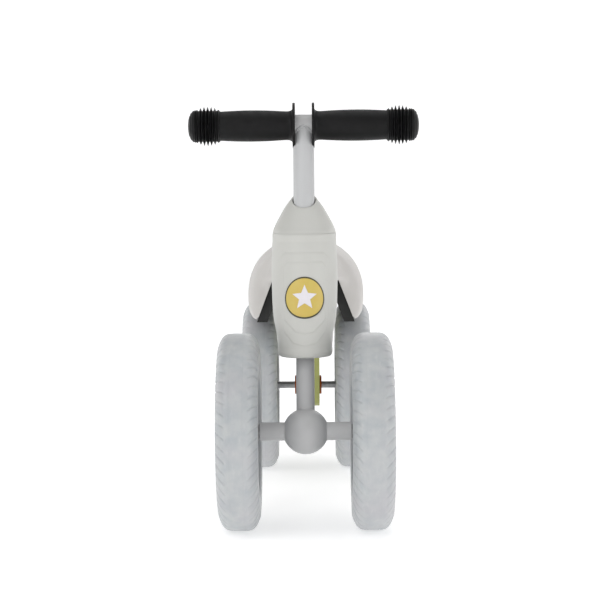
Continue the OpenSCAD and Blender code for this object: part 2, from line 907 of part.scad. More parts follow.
module cap_front_right() {
  color("gold") wheel_place(front_y, front_wheel_x, -1) wheel_cap();
}

module tyre_rear_left() {
  color("lightgray") wheel_place(rear_y, rear_wheel_x, 1) tyre();
}

module rim_rear_left() {
  color("gainsboro") wheel_place(rear_y, rear_wheel_x, 1) rim();
}

module bush_rear_left() {
  color("white") wheel_place(rear_y, rear_wheel_x, 1) wheel_bush();
}

module cap_rear_left() {
  color("gold") wheel_place(rear_y, rear_wheel_x, 1) wheel_cap();
}

module tyre_rear_right() {
  color("lightgray") wheel_place(rear_y, rear_wheel_x, -1) tyre();
}

module rim_rear_right() {
  color("gainsboro") wheel_place(rear_y, rear_wheel_x, -1) rim();
}

module bush_rear_right() {
  color("white") wheel_place(rear_y, rear_wheel_x, -1) wheel_bush();
}

module cap_rear_right() {
  color("gold") wheel_place(rear_y, rear_wheel_x, -1) wheel_cap();
}

// Output --------------------------------------------------------------------------------------

head_tube();
bush_lower();
bush_upper();
main_tube();
tube_plug();
rear_stay();
rear_boss();
seat_bracket();
seat_bolts();
beam_left();
beam_right();
beam_screws();
front_shroud();
top_cowl();
badge_ring();
badge_disc();
badge_star();
seat_pan();
seat_pad();
tail_cover_left();
tail_cover_right();
tail_screws();
rear_axle();
rear_nuts();
rear_washers();
rear_flanges();
fork_leg();
crown_ring();
top_collar();
collar_screw();
stop_pin();
axle_tube();
hub_ball_front();
hub_ball_rear();
front_axle();
front_nuts();
front_washers();
stem_tube();
snap_button();
crossbar();
grip_left();
grip_right();
tyre_front_left();
rim_front_left();
bush_front_left();
cap_front_left();
tyre_front_right();
rim_front_right();
bush_front_right();
cap_front_right();
tyre_rear_left();
rim_rear_left();
bush_rear_left();
cap_rear_left();
tyre_rear_right();
rim_rear_right();
bush_rear_right();
cap_rear_right();
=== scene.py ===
# %% [markdown]
# # A toddler's balance bike
# The bike has four small foam wheels, a steel frame under plastic covers, a moulded saddle and a
# T-shaped handlebar. Its working model is loaded first and fixes every size and place. Each
# following step makes one visible piece over it, or gives a working part its finish.

# %% Load the working model
import json
import math

import bmesh
import bpy
import numpy as np
from mathutils import Matrix, Vector


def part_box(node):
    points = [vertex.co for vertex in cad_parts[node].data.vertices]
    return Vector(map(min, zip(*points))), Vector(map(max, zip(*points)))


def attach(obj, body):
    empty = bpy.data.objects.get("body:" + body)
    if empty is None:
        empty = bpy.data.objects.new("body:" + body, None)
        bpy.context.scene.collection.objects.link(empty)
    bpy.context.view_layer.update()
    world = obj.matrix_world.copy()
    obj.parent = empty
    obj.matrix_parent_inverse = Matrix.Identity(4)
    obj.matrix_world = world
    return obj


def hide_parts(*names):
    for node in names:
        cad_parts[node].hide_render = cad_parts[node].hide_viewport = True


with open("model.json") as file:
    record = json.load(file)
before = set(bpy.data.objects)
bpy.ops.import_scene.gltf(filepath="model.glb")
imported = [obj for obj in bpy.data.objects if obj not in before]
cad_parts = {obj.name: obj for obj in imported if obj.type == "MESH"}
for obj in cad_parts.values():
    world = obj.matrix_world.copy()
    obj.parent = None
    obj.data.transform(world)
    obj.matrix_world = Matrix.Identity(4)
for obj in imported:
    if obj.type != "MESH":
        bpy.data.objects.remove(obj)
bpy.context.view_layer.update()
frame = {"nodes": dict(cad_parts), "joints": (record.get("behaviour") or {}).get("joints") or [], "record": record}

MM = 0.001
nodes = frame["nodes"]
joints = {joint["name"]: joint for joint in frame["joints"]}

# %% [markdown]
# ## Where the bike's parts are
# The steering joint gives the front axle's middle and the direction of the head tube. Each wheel
# joint gives a wheel's middle. A box round a part gives its size, so no length is typed twice.

# %% Axes and wheel middles
steering = joints["steering_turn"]
front_axle = Vector(steering["pos_m"])
up_stem = Vector(steering["axis"]).normalized()
across = Vector((1, 0, 0))
forward = across.cross(up_stem)
WHEELS = ("front_left", "front_right", "rear_left", "rear_right")
wheel_middle = {w: Vector(joints["wheel_spin_" + w]["pos_m"]) for w in WHEELS}
tyre_low, tyre_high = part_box("tyre_front_left")
tyre_radius = (tyre_high.z - tyre_low.z) / 2
tyre_half = (tyre_high.x - tyre_low.x) / 2
bar_low, bar_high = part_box("crossbar")
bar_middle = (bar_low + bar_high) / 2
bar_radius = (bar_high.z - bar_low.z) / 2
print("tyre radius", round(tyre_radius, 4), "bar height", round(bar_middle.z, 4))


def steering_point(x, ahead, up):
    """A point given across the bike, ahead of the steering axis and up along it, in metres."""
    return front_axle + across * x + forward * ahead + up_stem * up


# %% [markdown]
# ## Camera, light and floor
# A long lens from a little below handlebar height shows the bike almost flat on. The floor, made
# last, is a wide pale sheet whose edge curves up far away, so no horizon shows.

# %% Camera
camera_data = bpy.data.cameras.new("front_camera")
camera_data.lens = 109.26
camera_data.sensor_width = 36
camera = bpy.data.objects.new("front_camera", camera_data)
bpy.context.scene.collection.objects.link(camera)
bpy.context.scene.camera = camera
camera_side, camera_distance, camera_height = 0.00825, 1.7693, 0.3657
pitch, turn, roll = 0.079, -0.0072, 0.009
look = Vector((math.sin(turn) * math.cos(pitch), math.cos(turn) * math.cos(pitch), -math.sin(pitch)))
level_right = Vector((math.cos(turn), -math.sin(turn), 0))
level_up = level_right.cross(look)
right = level_right * math.cos(roll) - level_up * math.sin(roll)
up = level_right * math.sin(roll) + level_up * math.cos(roll)
camera_place = Matrix((right, up, -look)).transposed().to_4x4()
camera_place.translation = Vector((camera_side, front_axle.y - camera_distance, camera_height))
camera.matrix_world = camera_place

# %% World and soft lights
scene = bpy.context.scene
scene.view_settings.view_transform = "Standard"
world = bpy.data.worlds.new("studio")
scene.world = world
world.use_nodes = True
room_light = world.node_tree.nodes["Background"]
room_light.inputs["Color"].default_value = (1.0, 1.0, 1.0, 1)
room_light.inputs["Strength"].default_value = 0.40


def soft_light(name, place, aim, size, watts):
    """A square softbox at place that points at aim."""
    data = bpy.data.lights.new(name, "AREA")
    data.shape = "SQUARE"
    data.size = size
    data.energy = watts
    lamp = bpy.data.objects.new(name, data)
    scene.collection.objects.link(lamp)
    lamp.location = place
    lamp.rotation_euler = (Vector(aim) - Vector(place)).to_track_quat("-Z", "Y").to_euler()
    return lamp


middle = Vector((0, 0, 0.2))
soft_light("key_softbox", (-0.9, -1.6, 1.7), middle, 1.1, 9)
soft_light("fill_softbox", (1.7, -1.1, 0.9), middle, 1.2, 3)
soft_light("top_softbox", (0.1, 0.2, 2.1), middle, 1.6, 8)
soft_light("back_softbox", (0.6, 2.0, 1.3), middle, 1.4, 5)

# %% [markdown]
# ## Finishes
# A finish is a material built from nodes. Real surfaces are never one flat colour, so each finish
# mixes two near colours, varies its roughness and carries a fine bump at its true size. The helper
# class keeps that short: its patterns are read in metres, from the piece's own coordinates.


# %% A finish builder
class Finish:
    """A material with one surface shader and patterns measured in metres."""

    def __init__(self, name, colour, roughness, metallic=0.0):
        self.material = bpy.data.materials.new(name)
        self.material.use_nodes = True
        self.nodes = self.material.node_tree.nodes
        self.links = self.material.node_tree.links
        self.shader = self.nodes["Principled BSDF"]
        self.shader.inputs["Base Color"].default_value = (*colour, 1)
        self.shader.inputs["Roughness"].default_value = roughness
        self.shader.inputs["Metallic"].default_value = metallic
        self.place = self.nodes.new("ShaderNodeTexCoord").outputs["Object"]
        self.normal = None

    def noise(self, size, detail=4.0, stretch=(1, 1, 1)):
        """Cloudy noise whose blobs are about size metres across."""
        mapping = self.nodes.new("ShaderNodeMapping")
        mapping.inputs["Scale"].default_value = stretch
        texture = self.nodes.new("ShaderNodeTexNoise")
        texture.inputs["Scale"].default_value = 1 / size
        texture.inputs["Detail"].default_value = detail
        self.links.new(self.place, mapping.inputs["Vector"])
        self.links.new(mapping.outputs["Vector"], texture.inputs["Vector"])
        return texture.outputs["Fac"]

    def cells(self, size, feature="F1"):
        """Distance inside cells about size metres across, for pebbles, pores and leather."""
        texture = self.nodes.new("ShaderNodeTexVoronoi")
        texture.feature = feature
        texture.inputs["Scale"].default_value = 1 / size
        self.links.new(self.place, texture.inputs["Vector"])
        return texture.outputs["Distance"]

    def spread(self, value, low, high, start=0.3, end=0.7):
        """Maps a pattern from start..end to low..high."""
        node = self.nodes.new("ShaderNodeMapRange")
        node.inputs["From Min"].default_value = start
        node.inputs["From Max"].default_value = end
        node.inputs["To Min"].default_value = low
        node.inputs["To Max"].default_value = high
        self.links.new(value, node.inputs["Value"])
        return node.outputs["Result"]

    def times(self, a, b):
        node = self.nodes.new("ShaderNodeMath")
        node.operation = "MULTIPLY"
        self.links.new(a, node.inputs[0])
        self.links.new(b, node.inputs[1])
        return node.outputs["Value"]

    def colour(self, value, first, second):
        """Blends the base colour from first to second by value, over whatever it was before."""
        node = self.nodes.new("ShaderNodeMix")
        node.data_type = "RGBA"
        self.links.new(value, node.inputs["Factor"])
        before = self.shader.inputs["Base Color"].links
        if before and first is None:
            self.links.new(before[0].from_socket, node.inputs[6])
        else:
            node.inputs[6].default_value = (*first, 1)
        node.inputs[7].default_value = (*second, 1)
        self.links.new(node.outputs[2], self.shader.inputs["Base Color"])
        return self

    def rough(self, value, low, high):
        self.links.new(self.spread(value, low, high), self.shader.inputs["Roughness"])
        return self

    def bump(self, value, height, strength=1.0):
        """Raises the surface by up to height metres where value is high, on top of earlier bumps."""
        node = self.nodes.new("ShaderNodeBump")
        node.inputs["Strength"].default_value = strength
        node.inputs["Distance"].default_value = height
        self.links.new(value, node.inputs["Height"])
        if self.normal:
            self.links.new(self.normal, node.inputs["Normal"])
        self.normal = node.outputs["Normal"]
        self.links.new(self.normal, self.shader.inputs["Normal"])
        return self

    def edges(self):
        """High on outer corners, where hands and floors rub a finish."""
        geometry = self.nodes.new("ShaderNodeNewGeometry")
        return self.spread(geometry.outputs["Pointiness"], 0, 1, 0.52, 0.6)


# %% [markdown]
# ### Painted steel
# Powder coat is dust melted onto the tube. It cures to a satin skin with a soft ripple about a
# millimetre across, known as orange peel. Two greys are used: the fork and the paler stem.


# %% Powder coat
def powder_coat(name, colour, shade):
    finish = Finish(name, colour, 0.4)
    ripple = finish.noise(0.0016, 2)
    clouds = finish.noise(0.05, 5)
    finish.colour(finish.spread(clouds, 0, 1), colour, shade)
    finish.rough(finish.noise(0.012, 6), 0.34, 0.5)
    finish.bump(ripple, 0.00008, 0.5).bump(finish.noise(0.0003, 2), 0.00002, 0.4)
    finish.shader.inputs["Coat Weight"].default_value = 0.15
    finish.shader.inputs["Coat Roughness"].default_value = 0.3
    return finish.material


FINISH = {
    "steel_painted": powder_coat("powder_coat_grey", (0.55, 0.55, 0.55), (0.50, 0.50, 0.505)),
    "stem_painted": powder_coat("powder_coat_pale", (0.53, 0.535, 0.54), (0.49, 0.495, 0.50)),
}

# %% [markdown]
# ### Plated steel
# Nuts, washers, rods and screws are zinc plated. Zinc has small dull patches, and turning leaves
# fine lines round each part, so the noise is stretched into streaks.


# %% Zinc
def zinc(name, colour, dull):
    finish = Finish(name, colour, 0.35, metallic=1.0)
    finish.colour(finish.spread(finish.noise(0.004, 6), 0, 1), colour, dull)
    finish.rough(finish.noise(0.0025, 5), 0.28, 0.5)
    finish.bump(finish.noise(0.0004, 3, (1, 6, 6)), 0.00003, 0.4)
    return finish.material


FINISH["steel_zinc"] = zinc("bright_zinc", (0.46, 0.46, 0.47), (0.33, 0.33, 0.34))
FINISH["steel_dark"] = zinc("dark_zinc", (0.13, 0.13, 0.135), (0.08, 0.08, 0.085))

# %% [markdown]
# ### Moulded plastic
# The covers, the rims and the tail fin are moulded. Their skin copies a finely etched mould, so
# it has a very small grain. Slow waves from cooling show in the gloss.


# %% Plastics
def moulded(name, colour, shade, roughness, grain=0.00035, depth=0.00003):
    finish = Finish(name, colour, roughness)
    finish.colour(finish.spread(finish.noise(0.06, 4), 0, 1), colour, shade)
    finish.rough(finish.noise(0.009, 6), roughness - 0.06, roughness + 0.08)
    finish.bump(finish.noise(0.03, 1), 0.00025, 0.35).bump(finish.noise(grain, 3), depth, 0.6)
    return finish.material


FINISH["cover_white"] = moulded("white_cover", (0.575, 0.575, 0.545), (0.545, 0.545, 0.515), 0.42)
FINISH["rim_plastic"] = moulded("grey_rim", (0.44, 0.455, 0.47), (0.40, 0.415, 0.43), 0.45)
FINISH["cap_plastic"] = moulded("grey_cap", (0.47, 0.485, 0.50), (0.44, 0.455, 0.47), 0.36)
FINISH["pan_black"] = moulded("black_pan", (0.006, 0.006, 0.0055), (0.010, 0.010, 0.009), 0.55,
                              grain=0.0009, depth=0.00012)
FINISH["tail_yellow"] = moulded("yellow_fin", (0.50, 0.52, 0.17), (0.46, 0.48, 0.14), 0.4)
FINISH["collar_orange"] = moulded("orange_collar", (0.66, 0.15, 0.02), (0.58, 0.12, 0.016), 0.38)
FINISH["nylon"] = moulded("natural_nylon", (0.58, 0.57, 0.53), (0.54, 0.53, 0.49), 0.5)

# %% [markdown]
# ### Badge
# The badge is a domed sticker: a printed disc under clear resin. The clear top is a coat on the
# shader, with a soft roughness that hands and wiping leave.


# %% Badge finishes
def resin_badge(name, colour, shade):
    finish = Finish(name, colour, 0.45)
    finish.colour(finish.spread(finish.noise(0.012, 4), 0, 1), colour, shade)
    finish.rough(finish.noise(0.006, 6), 0.38, 0.52)
    finish.bump(finish.noise(0.01, 2), 0.00006, 0.4)
    finish.shader.inputs["Coat Weight"].default_value = 0.6
    finish.shader.inputs["Coat Roughness"].default_value = 0.22
    return finish.material


FINISH["badge_yellow"] = resin_badge("badge_yellow", (0.60, 0.47, 0.10), (0.61, 0.43, 0.075))
FINISH["badge_dark"] = resin_badge("badge_ring", (0.055, 0.05, 0.016), (0.045, 0.04, 0.012))
FINISH["badge_white"] = resin_badge("badge_star", (0.78, 0.75, 0.79), (0.74, 0.71, 0.75))

# %% [markdown]
# ### Foam tyre
# The tyres are cut from EVA foam, so they never go flat. Foam is matte and full of tiny closed
# pores. The band that rolls is rubbed smoother and greyer than the shoulders. The shoulders'
# grooves get painted shade: a darker colour where the pointiness of the mesh is low.


# %% Foam
def foam():
    finish = Finish("foam_tyre", (0.46, 0.475, 0.48), 0.6)
    finish.colour(finish.spread(finish.noise(0.011, 7), 0, 1), (0.49, 0.505, 0.505), (0.40, 0.425, 0.445))
    finish.colour(finish.spread(finish.noise(0.045, 3), 0, 0.6, 0.45, 0.7), None, (0.47, 0.46, 0.48))
    geometry = finish.nodes.new("ShaderNodeNewGeometry")
    # Painted shade: the colour darkens in the grooves and creases, where the mesh is hollow.
    groove_shade = finish.spread(geometry.outputs["Pointiness"], 0.6, 0, 0.44, 0.5)
    finish.colour(finish.times(groove_shade, finish.noise(0.008, 4)), None, (0.30, 0.32, 0.34))
    scuffs = finish.spread(finish.noise(0.0035, 6, (1, 0.4, 0.4)), 0, 0.35, 0.56, 0.75)
    finish.colour(scuffs, None, (0.56, 0.565, 0.565))
    finish.rough(finish.noise(0.01, 5), 0.30, 0.48)
    pores = finish.spread(finish.cells(0.0009), 0, 1, 0.0, 0.45)
    finish.bump(pores, 0.00006, 0.5).bump(finish.noise(0.009, 4), 0.0006, 0.45)
    finish.shader.inputs["Sheen Weight"].default_value = 0.05
    return finish.material


FINISH["tyre_foam"] = foam()

# %% [markdown]
# ### Rubber grip
# Grips are soft black rubber. It looks dark grey where it is dry and rough, a little lighter on
# its raised ribs, and it has a faint dusty sheen.


# %% Rubber
def rubber():
    finish = Finish("black_rubber", (0.005, 0.005, 0.006), 0.5)
    clouds = finish.spread(finish.noise(0.015, 5), 0, 1)
    finish.colour(clouds, (0.0018, 0.0018, 0.002), (0.004, 0.004, 0.0045))
    finish.colour(finish.edges(), None, (0.008, 0.008, 0.009))
    finish.rough(finish.noise(0.006, 5), 0.40, 0.56)
    finish.bump(finish.noise(0.0008, 3), 0.00006, 0.6)
    finish.shader.inputs["Specular IOR Level"].default_value = 0.22
    return finish.material


FINISH["grip_rubber"] = rubber()

# %% [markdown]
# ### Saddle skin
# The saddle is foam that grows its own soft polyurethane skin in the mould. The mould gives it a
# leather grain: small cells with rounded tops and fine creases between them.


# %% Soft skin
def saddle_skin():
    finish = Finish("saddle_skin", (0.57, 0.55, 0.53), 0.55)
    finish.colour(finish.spread(finish.noise(0.035, 5), 0, 1), (0.59, 0.572, 0.55), (0.55, 0.53, 0.51))
    creases = finish.spread(finish.cells(0.0021, "DISTANCE_TO_EDGE"), 0, 1, 0.0, 0.16)
    finish.rough(finish.noise(0.008, 6), 0.48, 0.62)
    finish.bump(finish.noise(0.012, 3), 0.0004, 0.3).bump(creases, 0.00018, 0.55)
    finish.shader.inputs["Sheen Weight"].default_value = 0.1
    finish.shader.inputs["Sheen Roughness"].default_value = 0.6
    return finish.material


FINISH["saddle"] = saddle_skin()
print(len(FINISH), "finishes")

# %% [markdown]
# ## Finish the working parts
# Every working part takes the finish of its own slot. Some of them stay visible as they are, and
# the others are covered below by a finer piece.

# %% Assign finishes
slot_of = {part["node"]: part["material_slot"] for part in frame["record"]["subparts"]}
for name, node in nodes.items():
    node.data.materials.clear()
    node.data.materials.append(FINISH[slot_of[name]])

# %% [markdown]
# ## Helpers for pieces
# A finished piece takes over one or more working parts: it rides on the same body, hides them and
# takes their finish. Two helpers do most of the work. One rounds the corners of a working part, as
# real moulds, presses and lathes leave no knife edges. The other turns a profile round an axle.


# %% Take over a working part
body_of = {name: body
           for body, names in frame["record"]["behaviour"]["bodies"].items() for name in names}


def smooth(mesh, angle=32):
    """Shades a mesh smooth, with a crease wherever two faces meet at more than angle degrees."""
    mesh.shade_smooth()
    mesh.set_sharp_from_angle(angle=math.radians(angle))


def take_over(piece, *names):
    """The piece replaces these working parts: same body, same finish."""
    if not piece.data.materials:
        piece.data.materials.append(FINISH[slot_of[names[0]]])
    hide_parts(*names)
    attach(piece, body_of[names[0]])
    return piece


def new_piece(name, points, faces, angle=32):
    """A closed mesh object made from points and faces, with its normals turned outwards."""
    mesh = bpy.data.meshes.new(name)
    mesh.from_pydata([tuple(p) for p in points], [], [tuple(f) for f in faces])
    shape = bmesh.new()
    shape.from_mesh(mesh)
    bmesh.ops.recalc_face_normals(shape, faces=shape.faces)
    shape.to_mesh(mesh)
    shape.free()
    smooth(mesh, angle)
    piece = bpy.data.objects.new(name, mesh)
    scene.collection.objects.link(piece)
    return piece


def apply_modifiers(piece):
    """Turns the piece, with everything its modifiers did, into a plain mesh."""
    finished = bpy.data.meshes.new_from_object(
        piece.evaluated_get(bpy.context.evaluated_depsgraph_get()))
    piece.modifiers.clear()
    piece.data = finished
    return piece


def joined_copy(node, flat=0.4):
    """A working part's mesh with its loose triangles merged and its flat faces made whole."""
    shape = bmesh.new()
    shape.from_mesh(nodes[node].data)
    bmesh.ops.remove_doubles(shape, verts=shape.verts, dist=0.000002)
    bmesh.ops.dissolve_degenerate(shape, edges=shape.edges, dist=0.000002)
    bmesh.ops.dissolve_limit(
        shape, angle_limit=math.radians(flat), verts=shape.verts, edges=shape.edges)
    bmesh.ops.recalc_face_normals(shape, faces=shape.faces)
    mesh = bpy.data.meshes.new(node + "_shape")
    shape.to_mesh(mesh)
    shape.free()
    return mesh


def rounded(node, width, segments=3, angle=35):
    """Takes over a working part with the same shape, its corners rounded by width metres."""
    piece = bpy.data.objects.new(node + "_finished", joined_copy(node))
    scene.collection.objects.link(piece)
    bevel = piece.modifiers.new("rounded_corners", "BEVEL")
    bevel.width = width
    bevel.segments = segments
    bevel.limit_method = "ANGLE"
    bevel.angle_limit = math.radians(angle)
    bevel.harden_normals = True
    smooth(piece.data, angle)
    apply_modifiers(piece)
    piece.data.materials.clear()
    return take_over(piece, node)


# %% Turn a profile round an axle
def turned(name, profile, around, middle, direction, angle=32):
    """Turns a closed loop of (distance, radius) pairs round an axis through middle.

    Where the loop touches the axis, its points become one, so the end is closed and smooth."""
    direction = Vector(direction).normalized()
    side = direction.orthogonal().normalized()
    third = direction.cross(side)
    points, rings = [], []
    for distance, radius in profile:
        if radius < 1e-7:
            rings.append([len(points)])
            points.append(middle + direction * distance)
            continue
        rings.append(list(range(len(points), len(points) + around)))
        for i in range(around):
            turn_angle = math.tau * i / around
            points.append(middle + direction * distance + side * (radius * math.cos(turn_angle))
                          + third * (radius * math.sin(turn_angle)))
    faces = []
    for a, b in zip(rings, rings[1:] + rings[:1]):
        if len(a) == 1 and len(b) == 1:
            continue
        for i in range(around):
            j = (i + 1) % around
            face = [a[i % len(a)], a[j % len(a)], b[j % len(b)], b[i % len(b)]]
            faces.append(list(dict.fromkeys(face)))
    return new_piece(name, points, faces, angle)


def arc(middle, radius, start, end, steps):
    """Points of an arc in a profile, from start to end degrees."""
    return [(middle[0] + radius * math.cos(math.radians(start + (end - start) * i / steps)),
             middle[1] + radius * math.sin(math.radians(start + (end - start) * i / steps)))
            for i in range(steps + 1)]


# %% [markdown]
# ## Geometry Nodes in short
# Long trees are hard to read when every link is a line. This small class lets a tree be written as
# sums and products: each operator adds one Math node and links it.


# %% A short way to write node trees
class Field:
    """A value that flows through a Geometry Nodes tree, with operators that add Math nodes."""

    def __init__(self, tree, socket):
        self.tree = tree
        self.socket = socket

    def math(self, operation, *others):
        node = self.tree.nodes.new("ShaderNodeMath")
        node.operation = operation
        for slot_in, value in zip(node.inputs, (self, *others)):
            if isinstance(value, Field):
                self.tree.links.new(value.socket, slot_in)
            else:
                slot_in.default_value = value
        return Field(self.tree, node.outputs[0])

    def __add__(self, other):
        return self.math("ADD", other)

    def __sub__(self, other):
        return self.math("SUBTRACT", other)

    def __mul__(self, other):
        return self.math("MULTIPLY", other)

    def step(self, start, end):
        """Rises smoothly from 0 at start to 1 at end. Start may be larger than end."""
        node = self.tree.nodes.new("ShaderNodeMapRange")
        node.interpolation_type = "SMOOTHSTEP"
        low, high = (start, end) if start < end else (end, start)
        node.inputs["From Min"].default_value = low
        node.inputs["From Max"].default_value = high
        node.inputs["To Min"].default_value = 0.0 if start < end else 1.0
        node.inputs["To Max"].default_value = 1.0 if start < end else 0.0
        self.tree.links.new(self.socket, node.inputs["Value"])
        return Field(self.tree, node.outputs["Result"])


def new_tree(name, inputs):
    """A Geometry Nodes tree with a geometry in and out, and named number inputs."""
    tree = bpy.data.node_groups.new(name, "GeometryNodeTree")
    tree.interface.new_socket("Geometry", in_out="INPUT", socket_type="NodeSocketGeometry")
    sockets = {}
    for label, (kind, value) in inputs.items():
        socket = tree.interface.new_socket(label, in_out="INPUT", socket_type="NodeSocket" + kind)
        if value is not None:
            socket.default_value = value
        sockets[label] = socket.identifier
    tree.interface.new_socket("Geometry", in_out="OUTPUT", socket_type="NodeSocketGeometry")
    start = tree.nodes.new("NodeGroupInput")
    end = tree.nodes.new("NodeGroupOutput")
    return tree, start, end, sockets


def finish_tree(tree, end, geometry):
    """Ends a tree: instances become real, and the finish is set."""
    real = tree.nodes.new("GeometryNodeRealizeInstances")
    finish = tree.nodes.new("GeometryNodeSetMaterial")
    start = next(n for n in tree.nodes if n.bl_idname == "NodeGroupInput")
    tree.links.new(geometry, real.inputs[0])
    tree.links.new(real.outputs[0], finish.inputs["Geometry"])
    tree.links.new(start.outputs["Finish"], finish.inputs["Material"])
    tree.links.new(finish.outputs[0], end.inputs[0])


def run_tree(piece, tree, sockets, **values):
    """Runs a tree on a piece with the given inputs and keeps the result as a plain mesh."""
    modifier = piece.modifiers.new(tree.name, "NODES")
    modifier.node_group = tree
    for label, value in values.items():
        modifier[sockets[label]] = value
    return apply_modifiers(piece)


# %% [markdown]
# ## Foam tyres
# A foam tyre is one moulded ring. The band that rolls is smooth. Slanted grooves start beside it,
# run over the rounded shoulder and end on the side wall, and on the front of the wheel they rise
# outwards. The ring is a profile turned round the axle, dense enough to hold a groove. The
# grooves repeat round the ring, so a node tree cuts them: it knows how far round and how far
# across each point is, and presses the points of a groove inwards.


# %% The tyre's profile
shoulder_drop = 0.013


def tyre_profile(rows_across=76):
    """Half the section's outside, the side walls and the bore, as (across, radius) pairs."""
    bore = (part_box("rim_front_left")[1].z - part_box("rim_front_left")[0].z) / 2
    outside = []
    for i in range(rows_across + 1):
        t = -1 + 2 * i / rows_across
        across_tyre = tyre_half * math.sin(t * math.pi / 2)
        outside.append((across_tyre, tyre_radius - shoulder_drop * (abs(across_tyre) / tyre_half) ** 5))
    wall = [(tyre_half, tyre_radius - shoulder_drop - 0.0009 * i) for i in range(1, 13)]
    lip = arc((tyre_half - 0.004, bore + 0.005), 0.004, 0, -80, 6)
    inner = [(tyre_half - 0.0065, bore), (0.0, bore), (0.0065 - tyre_half, bore)]
    half_loop = wall + lip
    mirrored = [(-a, r) for a, r in reversed(half_loop)]
    return outside + half_loop + inner + mirrored


tyre_loop = tyre_profile()
tread_pitches = 54
print(len(tyre_loop), "points in the tyre's profile")

# %% The tree that cuts the grooves
tread_tree, start, end, tread_sockets = new_tree("tread_cutter", {
    "Finish": ("Material", None), "Grooves": ("Float", float(tread_pitches)),
    "Depth": ("Float", 0.0007), "Slant": ("Float", 1.5)})


def named(tree, label):
    node = tree.nodes.new("GeometryNodeInputNamedAttribute")
    node.data_type = "FLOAT"
    node.inputs["Name"].default_value = label
    return Field(tree, node.outputs["Attribute"])


def group_value(tree, group_start, label):
    return Field(tree, group_start.outputs[label])


across_tread = named(tread_tree, "across")
around_tread = named(tread_tree, "around")
side_shift = across_tread.math("SIGN") * 0.25
phase = (around_tread * group_value(tread_tree, start, "Grooves")
         - across_tread.math("ABSOLUTE") * group_value(tread_tree, start, "Slant") + side_shift)
from_middle = (phase.math("FRACT") - 0.5).math("ABSOLUTE")
groove = from_middle.step(0.12, 0.05)
groove = groove * across_tread.math("ABSOLUTE").step(0.46, 0.66)
groove = groove * across_tread.math("ABSOLUTE").step(1.42, 1.30)
ridge = across_tread.math("ABSOLUTE") - 0.33
crease = ridge.math("ABSOLUTE").step(0.035, 0.0) * 0.28
pressed = (groove + crease) * group_value(tread_tree, start, "Depth") * -1
normal = tread_tree.nodes.new("GeometryNodeInputNormal")
scaled = tread_tree.nodes.new("ShaderNodeVectorMath")
scaled.operation = "SCALE"
tread_tree.links.new(normal.outputs[0], scaled.inputs[0])
tread_tree.links.new(pressed.socket, scaled.inputs["Scale"])
move = tread_tree.nodes.new("GeometryNodeSetPosition")
tread_tree.links.new(start.outputs["Geometry"], move.inputs["Geometry"])
tread_tree.links.new(scaled.outputs[0], move.inputs["Offset"])
finish_tree(tread_tree, end, move.outputs[0])
print("tread tree with", len(tread_tree.nodes), "nodes")

# %% Four tyres
TYRE_STEPS = 696
for wheel in WHEELS:
    node = "tyre_" + wheel
    low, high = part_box(node)
    middle = Vector(((low.x + high.x) / 2, wheel_middle[wheel].y, wheel_middle[wheel].z))
    tyre = turned(node + "_finished", tyre_loop, TYRE_STEPS, middle, (1, 0, 0), angle=50)
    mesh = tyre.data
    place = np.empty(len(mesh.vertices) * 3)
    mesh.vertices.foreach_get("co", place)
    place = place.reshape(-1, 3) - np.array(middle)
    radius = np.hypot(place[:, 1], place[:, 2])
    around = np.arctan2(place[:, 2], -place[:, 1]) / math.tau
    across_value = place[:, 0] / tyre_half
    wall_part = np.clip((tyre_radius - shoulder_drop - radius) / tyre_half, 0, 1)
    across_value = across_value + np.sign(place[:, 0]) * wall_part
    for label, values in (("around", around), ("across", across_value)):
        attribute = mesh.attributes.new(label, "FLOAT", "POINT")
        attribute.data.foreach_set("value", values.astype(np.float32))
    run_tree(tyre, tread_tree, tread_sockets, Finish=FINISH["tyre_foam"],
             Grooves=float(tread_pitches), Depth=0.0007, Slant=1.5)
    smooth(tyre.data, 60)
    take_over(tyre, node)
    print(node, len(tyre.data.polygons), "faces")

# %% [markdown]
# ## Rims, caps and hub parts
# The rims, the caps and the metal hub parts are turned or moulded. Their working shapes are right
# already, so each is taken over with its corners rounded: two or three tenths of a millimetre on
# plated steel, up to one millimetre on plastic. The light then catches every edge.

# %% Round the corners of the hub parts
ROUNDED = {}
for wheel in WHEELS:
    ROUNDED["rim_" + wheel] = 0.0009
    ROUNDED["cap_" + wheel] = 0.0006
    ROUNDED["bush_" + wheel] = 0.0003
ROUNDED.update({
    "front_nuts": 0.0004, "rear_nuts": 0.0004, "front_washers": 0.0002, "rear_washers": 0.0002,
    "rear_flanges": 0.0005, "axle_tube": 0.0003, "hub_ball_front": 0.0005, "hub_ball_rear": 0.0005,
    "crown_ring": 0.0006, "top_collar": 0.0006, "snap_button": 0.0003, "collar_screw": 0.0003,
    "rear_boss": 0.0004, "tube_plug": 0.0008, "seat_bracket": 0.0006, "seat_bolts": 0.0003,
    "tail_cover_left": 0.0012, "tail_cover_right": 0.0012, "seat_pan": 0.0011,
})
for node, width in ROUNDED.items():
    rounded(node, width)
print(len(ROUNDED), "parts rounded")

# %% [markdown]
# ## Front shroud and cowl
# The shroud is a moulded shell round the head tube, and the cowl closes its top. Seen from above
# each level is an oval. Two shield-shaped steps stand round the badge. A mesh of rings follows the
# same levels as the working part, but with smooth curves between them, and the steps lift its
# points along the surface.

